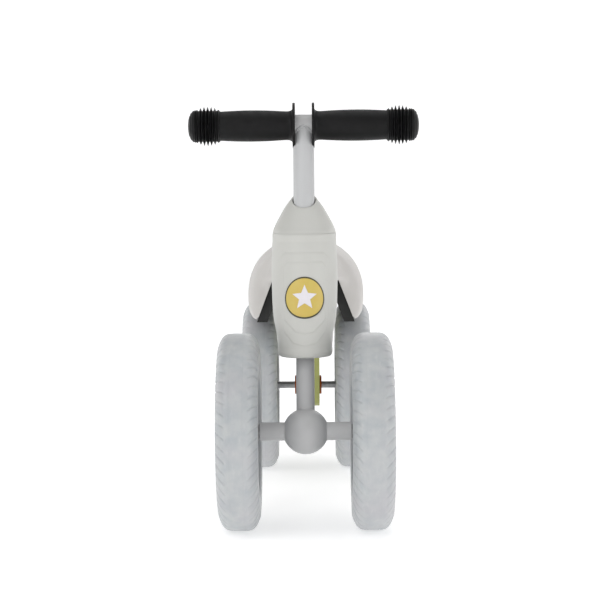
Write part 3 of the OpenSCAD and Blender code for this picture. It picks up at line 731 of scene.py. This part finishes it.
# %% The shroud's levels
SHROUD_SIDE = ((169, 24.6), (170, 26.2), (172, 27.4), (180, 28), (192, 29), (204.5, 31.8), (220, 33.1),
               (241.5, 33.75), (260, 33.75), (279, 33.1), (289, 31.6), (293.5, 30.7), (301, 26.8),
               (312.5, 20), (321.1, 12.9))
SHROUD_FRONT = ((169, 24.6), (170, 26.4), (172, 27.8), (180, 29.5), (195, 33), (208, 33.6), (262, 33.6),
                (279, 32.6), (289, 30.8), (293.5, 29.7), (301, 26), (312.5, 19.6), (321.1, 12.9))
COWL_SLOPE = ((289, 0), (294, 0.08), (301, 0.2), (312.5, 0.36), (321.1, 0.5))


def smooth_table(table, z, window=3.0):
    """The table's value at height z in millimetres, averaged over a small window to round its bends."""
    heights = [row[0] for row in table]
    values = [row[1] for row in table]
    reach = min(window, z - heights[0], heights[-1] - z) if heights[0] < z < heights[-1] else 0.0
    samples = np.linspace(z - reach, z + reach, 9)
    return float(np.interp(samples, heights, values).mean())


def shield_step(u, z, half, top, bottom, cut):
    """Distance in millimetres inside a shield outline; negative outside it."""
    sides = half - abs(u)
    upper = top - z
    corner = (top + half - cut - z - abs(u)) / math.sqrt(2)
    lower = (z - bottom) * 0.94 + (half - abs(u)) * 0.18
    chin = (z - bottom + (half - abs(u)) * 0.9 - 9.0) / 1.35
    return min(sides, upper, corner, lower, chin)


def shroud_point(z, angle, inset, relief=True):
    """A point of the shroud at height z in millimetres and angle round it; 0 is the front."""
    slope = float(np.interp(z, [r[0] for r in COWL_SLOPE], [r[1] for r in COWL_SLOPE]))
    lift = 0.0
    if relief and abs(angle) < math.radians(75):
        u = angle * 33.8
        for half, top, bottom, cut in ((27.5, 271, 186, 6), (23.6, 262, 197, 5)):
            lift += 0.75 * min(max(shield_step(u, z, half, top, bottom, cut) / 0.6, 0), 1)
    # The plain skin lies a little under the steps; near the seam and the foot it comes back out
    sunk = 0.0
    if relief:
        sunk = (1.0 - min(lift / 1.5, 1)) * min(max((287 - z) / 6, 0), 1) * min(max((z - 172) / 6, 0), 1)
    side = smooth_table(SHROUD_SIDE, z) - inset - sunk
    front = smooth_table(SHROUD_FRONT, z) - inset - sunk
    stretch = up_stem.z - slope * math.sin(math.atan2(up_stem.y, up_stem.z))
    ahead = math.cos(angle) * front / stretch
    middle_y = front_axle.y / MM + (z - front_axle.z / MM) * up_stem.y / up_stem.z
    return Vector((math.sin(angle) * side, middle_y - ahead, z - slope * ahead)) * MM


def shell_of_rings(name, levels, around, wall, relief=True, angle=30):
    """A closed shell: up the outside through the levels, then down the inside."""
    points = []
    angles = [math.tau * i / around - math.pi for i in range(around)]
    for z in levels:
        points += [shroud_point(z, a, 0.0, relief) for a in angles]
    for z in reversed(levels):
        points += [shroud_point(z, a, wall, False) for a in angles]
    count = 2 * len(levels)
    faces = []
    for i in range(count):
        for j in range(around):
            a, b = i * around, (i + 1) % count * around
            k = (j + 1) % around
            faces.append((a + j, a + k, b + k, b + j))
    return new_piece(name, points, faces, angle)


seam_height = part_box("front_shroud")[1].z / MM
shroud_levels = list(np.arange(169.0, 172.0, 0.5)) + list(np.arange(172.0, seam_height - 0.6, 0.62))
shroud_levels += [seam_height - 0.5, seam_height]
shroud = shell_of_rings("front_shroud_finished", shroud_levels, 220, 2.4)
print("shroud with", len(shroud.data.polygons), "faces, seam at", round(seam_height, 1), "mm")

# %% [markdown]
# ### Cut the shroud open
# The beam cover passes through the back of the shroud, and the badge sits in a shallow round
# recess in its front. Both openings are cut with solids a little larger than what goes in, which
# leaves the thin dark gap that moulded covers always show round each other.

# %% Cutting helpers
BEAM_HALF_WIDTH = ((-123, 27), (-50, 25.5), (57, 24))
BEAM_HALF_HEIGHT = ((-123, 31), (-50, 28), (57, 24))
BEAM_LEAN = ((-123, 0.268), (-50, 0.05), (-10, 0))


def from_table(table, value):
    return float(np.interp(value, [row[0] for row in table], [row[1] for row in table]))


tube_start = steering_point(0, 0, 0.150)
tube_slope = -0.10694


def beam_point(y, turn_angle, inset):
    """A point of the beam cover's rounded-square section at y millimetres, turned from its +X side."""
    def soften(value):
        return math.copysign(abs(value) ** 0.6, value)
    rise = soften(math.sin(turn_angle)) * (from_table(BEAM_HALF_HEIGHT, y) - inset)
    width = soften(math.cos(turn_angle)) * (from_table(BEAM_HALF_WIDTH, y) - inset)
    line = tube_start.z / MM + tube_slope * (y - tube_start.y / MM)
    return Vector((width, y + rise * from_table(BEAM_LEAN, y), line + rise)) * MM


def lofted(name, rings, angle=32):
    """A closed solid through rings of points with equal counts, with flat ends."""
    count = len(rings[0])
    points = [p for ring in rings for p in ring]
    faces = [list(range(count)), list(range(len(points) - count, len(points)))]
    for i in range(len(rings) - 1):
        for j in range(count):
            a, b, k = i * count, (i + 1) * count, (j + 1) % count
            faces.append((a + j, a + k, b + k, b + j))
    return new_piece(name, points, faces, angle)


def cut_away(piece, *cutters, angle=32):
    """Cuts solids out of a piece and removes the solids."""
    for cutter in cutters:
        modifier = piece.modifiers.new("cut", "BOOLEAN")
        modifier.operation = "DIFFERENCE"
        modifier.solver = "EXACT"
        modifier.object = cutter
        apply_modifiers(piece)
        bpy.data.objects.remove(cutter)
    smooth(piece.data, angle)
    return piece


def beam_space(grow, first, last):
    """The solid that the beam cover fills from y first to y last, grown by some millimetres."""
    angles = [math.tau * i / 72 for i in range(72)]
    return lofted("beam_space", [[beam_point(y, a, -grow) for a in angles]
                                 for y in np.linspace(first, last, 12)])


badge_low, badge_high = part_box("badge_ring")
badge_radius = (badge_high.x - badge_low.x) / 2
badge_up = (((badge_low + badge_high) / 2) - front_axle).dot(up_stem)
wrap_radius = (max(v.co.dot(forward) for v in nodes["badge_ring"].data.vertices)
               - front_axle.dot(forward))


def badge_recess(grow, depth):
    """A round solid wrapped like the badge, from depth under the shroud's skin to far outside it."""
    rings = []
    for ahead in (wrap_radius - depth, wrap_radius + 0.01):
        for share in ((0.02, 0.5, 1.0) if ahead < wrap_radius else (1.0, 0.5, 0.02)):
            ring = []
            for i in range(96):
                turn_angle = math.tau * i / 96
                along = (badge_radius + grow) * share * math.cos(turn_angle) / wrap_radius
                level = badge_up + (badge_radius + grow) * share * math.sin(turn_angle)
                ring.append(steering_point(ahead * math.sin(along), ahead * math.cos(along), level))
            rings.append(ring)
    return lofted("badge_recess", rings)


cut_away(shroud, beam_space(0.5, -150, -40), badge_recess(0.0002, 0.0029))
take_over(shroud, "front_shroud")
print("shroud cut:", len(shroud.data.polygons), "faces; badge radius", round(badge_radius, 4))

# %% [markdown]
# ### Cowl
# The cowl is a second moulding, a cap that slopes up round the stem. Its levels tilt more and
# more towards the back, so its rim dips at the front. Its edges are rounded at the seam and lip.

# %% Cowl rings
cowl_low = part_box("top_cowl")[0].z / MM
cowl_high = 321.1
cowl_outside = [(cowl_low, 0.22), (cowl_low + 0.1, 0.06), (cowl_low + 0.4, 0.0)]
cowl_outside += [(z, 0.0) for z in np.linspace(cowl_low + 1.2, cowl_high - 0.7, 54)]
cowl_outside += [(cowl_high - 0.25, 0.12), (cowl_high, 0.45)]
cowl_inside = [(cowl_high, 1.3), (cowl_high - 0.5, 1.75), (cowl_high - 2.5, 1.9), (cowl_high - 4, 2.3)]
cowl_inside += [(z, 2.4) for z in np.linspace(cowl_high - 6, cowl_low, 14)]
AROUND = 200
ring_angles = [math.tau * i / AROUND - math.pi for i in range(AROUND)]
cowl_points = []
for z, inset in cowl_outside + cowl_inside:
    cowl_points += [shroud_point(z, a, inset, False) for a in ring_angles]
loops = len(cowl_outside) + len(cowl_inside)
cowl_faces = []
for i in range(loops):
    a, b = i * AROUND, (i + 1) % loops * AROUND
    cowl_faces += [(a + j, a + (j + 1) % AROUND, b + (j + 1) % AROUND, b + j) for j in range(AROUND)]
cowl = new_piece("top_cowl_finished", cowl_points, cowl_faces, 40)
take_over(cowl, "top_cowl")
print("cowl with", len(cowl.data.polygons), "faces")

# %% [markdown]
# ### Badge
# A yellow disc wrapped round the shroud, a thin dark ring and a plain five-pointed star. Each is
# already curved like the shroud, and rounding makes them look cast in resin.

# %% Badge pieces
def wrapped(along, up_from_middle, ahead):
    """A point on the badge: along is measured round the shroud, up along the steering axis."""
    turn_angle = along / wrap_radius
    return steering_point(ahead * math.sin(turn_angle), ahead * math.cos(turn_angle),
                          badge_up + up_from_middle)


def badge_solid(name, outline, back, front, rounding):
    """A flat shape wrapped round the shroud: outline gives its edge, front its height, with a soft edge."""
    rings, count = [], len(outline)
    for share, ahead in ((1.0, back), (1.0, front - rounding), (1 - rounding * 9, front - rounding * 0.35),
                         (1 - rounding * 26, front)):
        rings.append([wrapped(x * share, y * share, ahead) for x, y in outline])
    for share in (0.82, 0.6, 0.4, 0.2, 0.05):
        rings.append([wrapped(x * share, y * share, front) for x, y in outline])
    return lofted(name, rings, 40)


def badge_circle(radius, steps=120):
    return [(radius * math.cos(math.tau * i / steps), radius * math.sin(math.tau * i / steps))
            for i in range(steps)]


skin = wrap_radius - 0.0007
dark = badge_solid("badge_ring_finished", badge_circle(badge_radius),
                   skin - 0.0018, wrap_radius - 0.0002, 0.0004)
cut_away(dark, badge_solid("hole", badge_circle(badge_radius - 0.0013),
                           skin - 0.004, wrap_radius + 0.004, 0.0), angle=40)
disc = badge_solid("badge_disc_finished", badge_circle(badge_radius - 0.00135),
                   skin - 0.0018, skin + 0.0004, 0.0003)
star_outline = []
for i in range(10):
    reach, next_reach = (0.0128, 0.0057) if i % 2 == 0 else (0.0057, 0.0128)
    for step in range(6):
        t = step / 6
        a, b = math.tau * i / 10 + math.pi / 2, math.tau * (i + 1) / 10 + math.pi / 2
        star_outline.append((reach * math.cos(a) * (1 - t) + next_reach * math.cos(b) * t,
                             reach * math.sin(a) * (1 - t) + next_reach * math.sin(b) * t))
star = badge_solid("badge_star_finished", star_outline, skin + 0.00035, skin + 0.0008, 0.0002)
for piece, node in ((dark, "badge_ring"), (disc, "badge_disc"), (star, "badge_star")):
    take_over(piece, node)

# %% [markdown]
# ## Beam cover
# Two long half shells close round the main tube. Each half is a rounded square in section. The
# halves meet on the middle plane, and six screws hold them, so the right half has sunk holes.

# %% Beam halves
beam_stations = [-123, -122.6, -121.5] + list(np.linspace(-119, 54, 44)) + [56.2, 56.8, 57]


def beam_half(side):
    rings = []
    for y in beam_stations:
        edge = min(y - beam_stations[0], beam_stations[-1] - y)
        inset = 0.9 * (1 - min(edge, 1.0)) ** 2
        outside = [beam_point(y, math.radians(a), inset) for a in np.linspace(-89.6, 89.6, 61)]
        inside = [beam_point(y, math.radians(a), 2.5 - inset * 0.3) for a in np.linspace(89.6, -89.6, 31)]
        ring = outside + inside
        rings.append([Vector((max(p.x, 0.00015) * side, p.y, p.z)) for p in ring])
    name = "beam_left" if side > 0 else "beam_right"
    return lofted(name + "_finished", rings, 45)


def islands(node):
    """The lowest and highest corner of each separate solid in a working part."""
    shape = bmesh.new()
    shape.from_mesh(nodes[node].data)
    bmesh.ops.remove_doubles(shape, verts=shape.verts, dist=0.000002)
    unseen, boxes = set(shape.verts), []
    while unseen:
        wave, found = [unseen.pop()], []
        while wave:
            vertex = wave.pop()
            found.append(vertex.co.copy())
            for edge in vertex.link_edges:
                other = edge.other_vert(vertex)
                if other in unseen:
                    unseen.remove(other)
                    wave.append(other)
        boxes.append((Vector([min(p[i] for p in found) for i in range(3)]),
                      Vector([max(p[i] for p in found) for i in range(3)])))
    shape.free()
    return boxes


beam_left, beam_right = beam_half(1), beam_half(-1)
beam_screw_boxes = islands("beam_screws")
hole_radius = (beam_screw_boxes[0][1].z - beam_screw_boxes[0][0].z) / 2 + 0.00025
holes = [turned("hole", [(0, 0), (0, hole_radius), (0.02, hole_radius), (0.02, 0)], 40,
                Vector((low.x + 0.0049, (low.y + high.y) / 2, (low.z + high.z) / 2)), (-1, 0, 0))
         for low, high in beam_screw_boxes]
cut_away(beam_right, *holes, angle=45)
take_over(beam_left, "beam_left")
take_over(beam_right, "beam_right")
print("beam halves with", len(beam_left.data.polygons) + len(beam_right.data.polygons), "faces")

# %% [markdown]
# ## Screws
# Ten equal screws hold the covers. One screw is modelled: a pan head with a cross recess and a
# plain shank. A node tree places a copy at each point, so moving a point moves its screw.

# %% One screw
screw_head_radius = hole_radius - 0.00035
screw_head = 0.0021
profile = [(0.0, 0.0), (0.0, screw_head_radius * 0.5), (0.0002, screw_head_radius * 0.8),
           (0.0006, screw_head_radius * 0.96), (0.001, screw_head_radius),
           (screw_head, screw_head_radius), (screw_head, 0.0016), (screw_head + 0.015, 0.0016),
           (screw_head + 0.016, 0.0009), (screw_head + 0.016, 0.0)]
screw = turned("screw_model", profile, 40, Vector((0, 0, 0)), (1, 0, 0), 30)


def block(name, half_x, half_y, half_z, middle=(0, 0, 0)):
    """A box used as a cutter."""
    corners = [[Vector((middle[0] + x, middle[1] + sy * half_y, middle[2] + sz * half_z))
                for sy, sz in ((-1, -1), (1, -1), (1, 1), (-1, 1))]
               for x in (-half_x, half_x)]
    return lofted(name, corners)


cut_away(screw, block("cross", 0.0011, 0.00045, 0.0019), block("cross", 0.0011, 0.0019, 0.00045), angle=30)

# %% The tree that places screws
screw_tree, start, end, screw_sockets = new_tree("screw_placer", {
    "Finish": ("Material", None), "Screw": ("Object", None), "Size": ("Float", 1.0)})
model = screw_tree.nodes.new("GeometryNodeObjectInfo")
place = screw_tree.nodes.new("GeometryNodeInstanceOnPoints")
screw_tree.links.new(start.outputs["Screw"], model.inputs["Object"])
screw_tree.links.new(start.outputs["Geometry"], place.inputs["Points"])
screw_tree.links.new(model.outputs["Geometry"], place.inputs["Instance"])
screw_tree.links.new(start.outputs["Size"], place.inputs["Scale"])
finish_tree(screw_tree, end, place.outputs["Instances"])

for node, boxes in (("beam_screws", beam_screw_boxes), ("tail_screws", islands("tail_screws"))):
    points = [Vector((low.x, (low.y + high.y) / 2, (low.z + high.z) / 2)) for low, high in boxes]
    mesh = bpy.data.meshes.new(node)
    mesh.from_pydata([tuple(p) for p in points], [], [])
    screws = bpy.data.objects.new(node + "_finished", mesh)
    scene.collection.objects.link(screws)
    run_tree(screws, screw_tree, screw_sockets, Finish=FINISH[slot_of[node]], Screw=screw, Size=1.0)
    smooth(screws.data, 30)
    take_over(screws, node)
    print(node, len(points), "screws")
bpy.data.objects.remove(screw)

# %% [markdown]
# ## Handlebar tubes and fork
# The stem is cut to fit round the crossbar and welded. The fork leg comes down out of the head
# tube to the axle tube. These tubes keep their working shape, with tiny rounded ends.

# %% Tubes
for node, width in (("stem_tube", 0.00025), ("crossbar", 0.0003), ("fork_leg", 0.0003),
                    ("rear_stay", 0.0003), ("front_axle", 0.0003), ("rear_axle", 0.0003)):
    rounded(node, width)

# %% [markdown]
# ### Weld beads
# A weld is a row of small overlapping pools of metal, laid round the joint. The joint of two
# crossing tubes is a saddle-shaped loop. A node tree walks along a loop in even steps and lays one
# flattened drop at each, turned to the loop's direction. A seeded jitter keeps it handmade.

# %% The tree that lays a weld
weld_tree, start, end, weld_sockets = new_tree("weld_bead", {
    "Finish": ("Material", None), "Step": ("Float", 0.0011), "Width": ("Float", 0.0015),
    "Seed": ("Int", 7)})
to_curve = weld_tree.nodes.new("GeometryNodeMeshToCurve")
walk = weld_tree.nodes.new("GeometryNodeResampleCurve")
walk.mode = "LENGTH"
drop = weld_tree.nodes.new("GeometryNodeMeshIcoSphere")
drop.inputs["Radius"].default_value = 1.0
drop.inputs["Subdivisions"].default_value = 3
tangent = weld_tree.nodes.new("GeometryNodeInputTangent")
align = weld_tree.nodes.new("FunctionNodeAlignRotationToVector")
align.axis = "X"
jitter = weld_tree.nodes.new("FunctionNodeRandomValue")
jitter.data_type = "FLOAT"
jitter.inputs[2].default_value = 0.88
jitter.inputs[3].default_value = 1.12
size = weld_tree.nodes.new("ShaderNodeCombineXYZ")
width = Field(weld_tree, start.outputs["Width"]) * Field(weld_tree, jitter.outputs[1])
lay = weld_tree.nodes.new("GeometryNodeInstanceOnPoints")
links = weld_tree.links
links.new(start.outputs["Seed"], jitter.inputs["Seed"])
links.new(start.outputs["Geometry"], to_curve.inputs[0])
links.new(to_curve.outputs[0], walk.inputs["Curve"])
links.new(start.outputs["Step"], walk.inputs["Length"])
links.new(tangent.outputs[0], align.inputs["Vector"])
links.new((width * 0.62).socket, size.inputs[0])
links.new(width.socket, size.inputs[1])
links.new(width.socket, size.inputs[2])
links.new(walk.outputs[0], lay.inputs["Points"])
links.new(drop.outputs["Mesh"], lay.inputs["Instance"])
links.new(align.outputs[0], lay.inputs["Rotation"])
links.new(size.outputs[0], lay.inputs["Scale"])
finish_tree(weld_tree, end, lay.outputs["Instances"])


def weld(name, loop, body, finish, width=0.0015):
    """A weld bead along a closed loop of points."""
    mesh = bpy.data.meshes.new(name)
    mesh.from_pydata([tuple(p) for p in loop], [(i, (i + 1) % len(loop)) for i in range(len(loop))], [])
    bead = bpy.data.objects.new(name, mesh)
    scene.collection.objects.link(bead)
    run_tree(bead, weld_tree, weld_sockets, Finish=FINISH[finish], Step=width * 0.75, Width=width, Seed=7)
    smooth(bead.data, 60)
    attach(bead, body)
    return bead


# %% Weld loops
stem_radius = bar_radius - 0.0005
bar_up = (bar_middle - front_axle).dot(up_stem)
stem_loop = []
for i in range(72):
    turn_angle = math.tau * i / 72
    x, ahead = stem_radius * math.cos(turn_angle), stem_radius * math.sin(turn_angle)
    drop_height = math.sqrt(max(bar_radius ** 2 - ahead ** 2, 0))
    stem_loop.append(steering_point(x, ahead, bar_up - drop_height))
bead = weld("stem_weld", stem_loop, "steering", "stem_painted", 0.0012)
print("weld with", len(bead.data.polygons), "faces")

# %% [markdown]
# ## Grips
# A grip is one rubber moulding. A thin flange stops the hand at the stem, the body swells a
# little in the palm, and seven sharp ribs form a ball at the end, which keeps the end safe. All
# of it is round, so one profile turned round the bar makes it. The flange is notched at the stem.

# %% Grip profile
grip_low, grip_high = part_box("grip_left")
grip_start = grip_low.x / MM
grip_end = grip_high.x / MM
flange_radius = (grip_high.z - grip_low.z) / 2 / MM
ball_radius = 20.0
ball_x = grip_end - ball_radius
bore = bar_radius / MM + 0.05
rib_pitch = 3.6
rib_places = [ball_x + (i - 3) * rib_pitch for i in range(7)]


def grip_radius(x):
    """Outer radius of the rubber at distance x from the middle of the bar, in millimetres."""
    body = 13.9 + 1.9 * math.sin(math.pi * min(max((x - grip_start) / (ball_x - grip_start), 0), 1))
    body += 3.2 * math.exp(-(x - grip_start - 2.4) / 1.7)
    if x > rib_places[0] - rib_pitch / 2:
        nearest = min(rib_places, key=lambda r: abs(r - x))
        peak = math.sqrt(ball_radius ** 2 - (nearest - ball_x) ** 2)
        slope = max(1 - abs(x - nearest) / 1.35, 0)
        body = 15.5 + (peak - 15.5) * min(slope * 1.06, 1 - 0.22 * (1 - slope))
    return body


flange_edge = arc((grip_start + 0.7, flange_radius - 0.7), 0.7, 180, 90, 5)
flange_edge += arc((grip_start + 1.9, flange_radius - 0.7), 0.7, 90, 0, 5)
grip_loop = [(grip_start, bore)] + flange_edge
grip_loop += [(x, grip_radius(x)) for x in np.arange(grip_start + 2.7, rib_places[0] - 1.9, 0.8)]
last_rib = rib_places[-1] + 1.4
grip_loop += [(x, grip_radius(x)) for x in np.arange(rib_places[0] - 1.8, last_rib, 0.2)]
dome_length = grip_end - last_rib
for i in range(1, 40):
    t = i / 40
    ripple = 0.28 * math.cos(t * 9 * math.pi) * (t < 0.72)
    grip_loop.append((last_rib + dome_length * math.sin(t * math.pi / 2),
                      16.3 * math.cos(t * math.pi / 2) ** 0.85 + ripple))
grip_loop += [(grip_end, 0.0), (100.2, 0.0), (100.2, bore)]
print(len(grip_loop), "points in the grip's profile")

# %% Two grips
notch_radius = stem_radius + 0.0003
for side, node in ((1, "grip_left"), (-1, "grip_right")):
    loop = [(x * MM, r * MM) for x, r in grip_loop]
    grip = turned(node + "_finished", loop, 112, Vector((0, bar_middle.y, bar_middle.z)), (side, 0, 0), 40)
    notch = turned("notch", [(-0.001, 0), (-0.001, notch_radius), (-0.04, notch_radius), (-0.04, 0)], 64,
                   bar_middle.copy(), up_stem)
    cut_away(grip, notch, angle=40)
    take_over(grip, node)
print("grips with", len(grip.data.polygons), "faces each")

# %% [markdown]
# ## Saddle
# The saddle is soft foam in its own skin, so it has no flat places and no straight lines. It
# starts as a solid lofted through arches. Cloth under air pressure then swells it, as foam pushes
# its skin outwards in the mould. How far a point may move is capped, and the fit round the pan
# and the beam is cut afterwards, because a remesh would blur it. A wedge cut on each side of the
# nose shows the front end of the pan. The lowest part of the skirts doesn't move, so they stay thin.

# %% The saddle's starting shape
PAD_WIDTH = ((-2, 0.2), (2, 0.33), (12, 0.42), (30, 0.56), (48, 0.76), (52, 0.86), (56, 0.91), (60, 0.94),
             (75, 0.98), (95, 1), (138, 1), (168, 0.95), (190, 0.84), (206, 0.66), (216, 0.42), (220, 0.24))
PAD_TOP = ((-2, -16), (2, -11), (12, -7), (30, -5), (55, -4), (95, -2), (130, -1), (160, 0), (190, -3),
           (206, -11), (216, -22), (220, -32))
PAD_WIDEST = ((-2, 250), (12, 243), (30, 238), (48, 234), (52, 224), (56, 216), (60, 213), (163, 213),
              (203, 216), (214, 222), (220, 234))
PAD_SKIRT = ((-2, 246), (12, 236), (30, 230), (48, 227), (52, 208), (56, 192), (60, 184), (120, 184),
             (134, 188), (147, 194), (163, 198.5), (183, 200.5), (203, 200.5), (212, 208), (220, 228))
pad_low, pad_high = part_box("seat_pad")
pad_half = (pad_high.x - pad_low.x) / 2 / MM
pad_height = pad_high.z / MM
pad_arch = 0.91


def pad_ring(y, shrink, steps=44):
    """One arch of the saddle at y millimetres: up a skirt, over the seat and down the other skirt."""
    wide = pad_half * smooth_table(PAD_WIDTH, y, 3) - shrink
    low = smooth_table(PAD_SKIRT, y, 2) + shrink * 0.3
    middle_z = smooth_table(PAD_WIDEST, y, 3)
    top = pad_height + smooth_table(PAD_TOP, y, 6) - shrink - middle_z
    skirt = [(wide * share, low + (middle_z - low) * rise)
             for share, rise in ((0.9, 0), (0.935, 0.05), (0.96, 0.12), (0.985, 0.3), (1, 0.55), (1, 0.8))]
    arch = []
    for i in range(steps + 1):
        turn_angle = math.pi * i / steps
        cosine, sine = math.cos(turn_angle), math.sin(turn_angle)
        arch.append((wide * math.copysign(abs(cosine) ** pad_arch, cosine),
                     middle_z + top * max(sine, 0) ** pad_arch))
    ring = skirt + arch + [(-x, z) for x, z in reversed(skirt)]
    return [Vector((x, y, z)) * MM for x, z in ring]


pad_shrink = 0.2
pad_stations = list(np.linspace(pad_low.y / MM + 1.5, pad_high.y / MM - 1.5, 90))
pad_rings = [pad_ring(y, pad_shrink) for y in pad_stations]
saddle = lofted("seat_pad_finished", pad_rings)
print("saddle start:", len(saddle.data.polygons), "faces")


# %% Swell it with cloth
still_height, fade_height = 0.008, 0.03


def swollen(piece, voxel, pressure, cap, frames=20):
    """Remeshes a piece evenly, inflates it as cloth, and caps how far each point may move."""
    remesh = piece.modifiers.new("even", "REMESH")
    remesh.mode = "VOXEL"
    remesh.voxel_size = voxel
    apply_modifiers(piece)
    before = np.empty(len(piece.data.vertices) * 3)
    piece.data.vertices.foreach_get("co", before)
    cloth = piece.modifiers.new("swell", "CLOTH")
    settings = cloth.settings
    settings.use_pressure = True
    settings.uniform_pressure_force = pressure
    settings.tension_stiffness = 25
    settings.compression_stiffness = 25
    settings.shear_stiffness = 12
    settings.bending_stiffness = 4
    settings.effector_weights.gravity = 0.0
    cloth.point_cache.frame_start = 1
    cloth.point_cache.frame_end = frames
    for number in range(1, frames + 1):
        scene.frame_set(number)
    result = bpy.data.meshes.new_from_object(
        piece.evaluated_get(bpy.context.evaluated_depsgraph_get()))
    after = np.empty(len(result.vertices) * 3)
    result.vertices.foreach_get("co", after)
    piece.modifiers.clear()
    scene.frame_set(1)
    before, after = before.reshape(-1, 3), after.reshape(-1, 3)
    shift = after - before
    length = np.linalg.norm(shift, axis=1)
    shift *= np.minimum(1, cap / np.maximum(length, 1e-9))[:, None]
    shift *= np.clip((before[:, 2] - pad_low.z - still_height) / fade_height, 0, 1)[:, None]
    piece.data.vertices.foreach_set("co", (before + shift).ravel())
    print("cloth moved", round(float(length.max()) * 1000, 1), "mm at most, before the cap of",
          round(cap * 1000, 1), "mm")
    return piece


swollen(saddle, 0.0042, 4.0, 0.0035)
soft = saddle.modifiers.new("soft", "SMOOTH")
soft.iterations = 2
divide = saddle.modifiers.new("fine", "SUBSURF")
divide.levels = divide.render_levels = 1
apply_modifiers(saddle)

# %% Cut the room for the pan, the beam and the tube
pan_front = 59.6
room_rings = []
for y in (pan_front, 110, 163, 177, 191, 203.6):
    grow = 1 if y < 163 else 1 - 0.4 * ((y - 163) / 40) ** 2
    half = [(61.0, 166), (38.2, 226.4), (36.6, 240.4), (28.2, 246.5)]
    ring = [Vector((x * grow + 0.4, y, z)) * MM for x, z in half]
    room_rings.append(ring + [Vector((-p.x, p.y, p.z)) for p in reversed(ring)])
tube_direction = Vector((0, 1, tube_slope)).normalized()
tube_profile = [(0, 0), (0, 0.0147), (0.29, 0.0147), (0.29, 0)]
tube_room = turned("tube_room", tube_profile, 64, tube_start, tube_direction)
wedge_section = ((26, 166), (60.4, 166), (29.8, 247), (26, 247))
wedge_rings = [[Vector((side * x, y, z)) * MM for x, z in wedge_section]
               for side in (1, -1) for y in (34, 62)]
wedges = [lofted("wedge", wedge_rings[i:i + 2]) for i in (0, 2)]
cut_away(saddle, lofted("pan_room", room_rings), beam_space(0.5, -20, 59), tube_room, *wedges, angle=55)
saddle.data.materials.clear()
take_over(saddle, "seat_pad")
print("saddle:", len(saddle.data.polygons), "faces")

# %% [markdown]
# ## Floor
# The floor is one wide round sheet whose edge curves up far away, so no corner or horizon shows
# from any side.

# %% Floor sheet
floor_rings = []
floor_turns = [math.tau * i / 64 for i in range(64)]
for reach, z in ((0.02, 0), (3.4, 0), (3.9, 0.05), (4.4, 0.22), (4.8, 0.6), (5.0, 1.1), (5.05, 2.6)):
    floor_rings.append([Vector((reach * math.cos(a), reach * math.sin(a), z)) for a in floor_turns])
floor_faces = [list(range(64))]
for i in range(len(floor_rings) - 1):
    floor_faces += [(64 * i + j, 64 * i + (j + 1) % 64, 64 * (i + 1) + (j + 1) % 64, 64 * (i + 1) + j)
                    for j in range(64)]
floor_mesh = bpy.data.meshes.new("studio_floor")
floor_mesh.from_pydata([tuple(p) for ring in floor_rings for p in ring], [], floor_faces)
smooth(floor_mesh, 80)
floor = bpy.data.objects.new("studio_floor", floor_mesh)
scene.collection.objects.link(floor)
paper = Finish("studio_paper", (0.93, 0.93, 0.93), 0.9)
paper.colour(paper.spread(paper.noise(0.4, 3), 0, 1), (0.93, 0.93, 0.93), (0.91, 0.91, 0.915))
paper.shader.inputs["Emission Color"].default_value = (1, 1, 1, 1)
paper.shader.inputs["Emission Strength"].default_value = 0.42
floor.data.materials.append(paper.material)
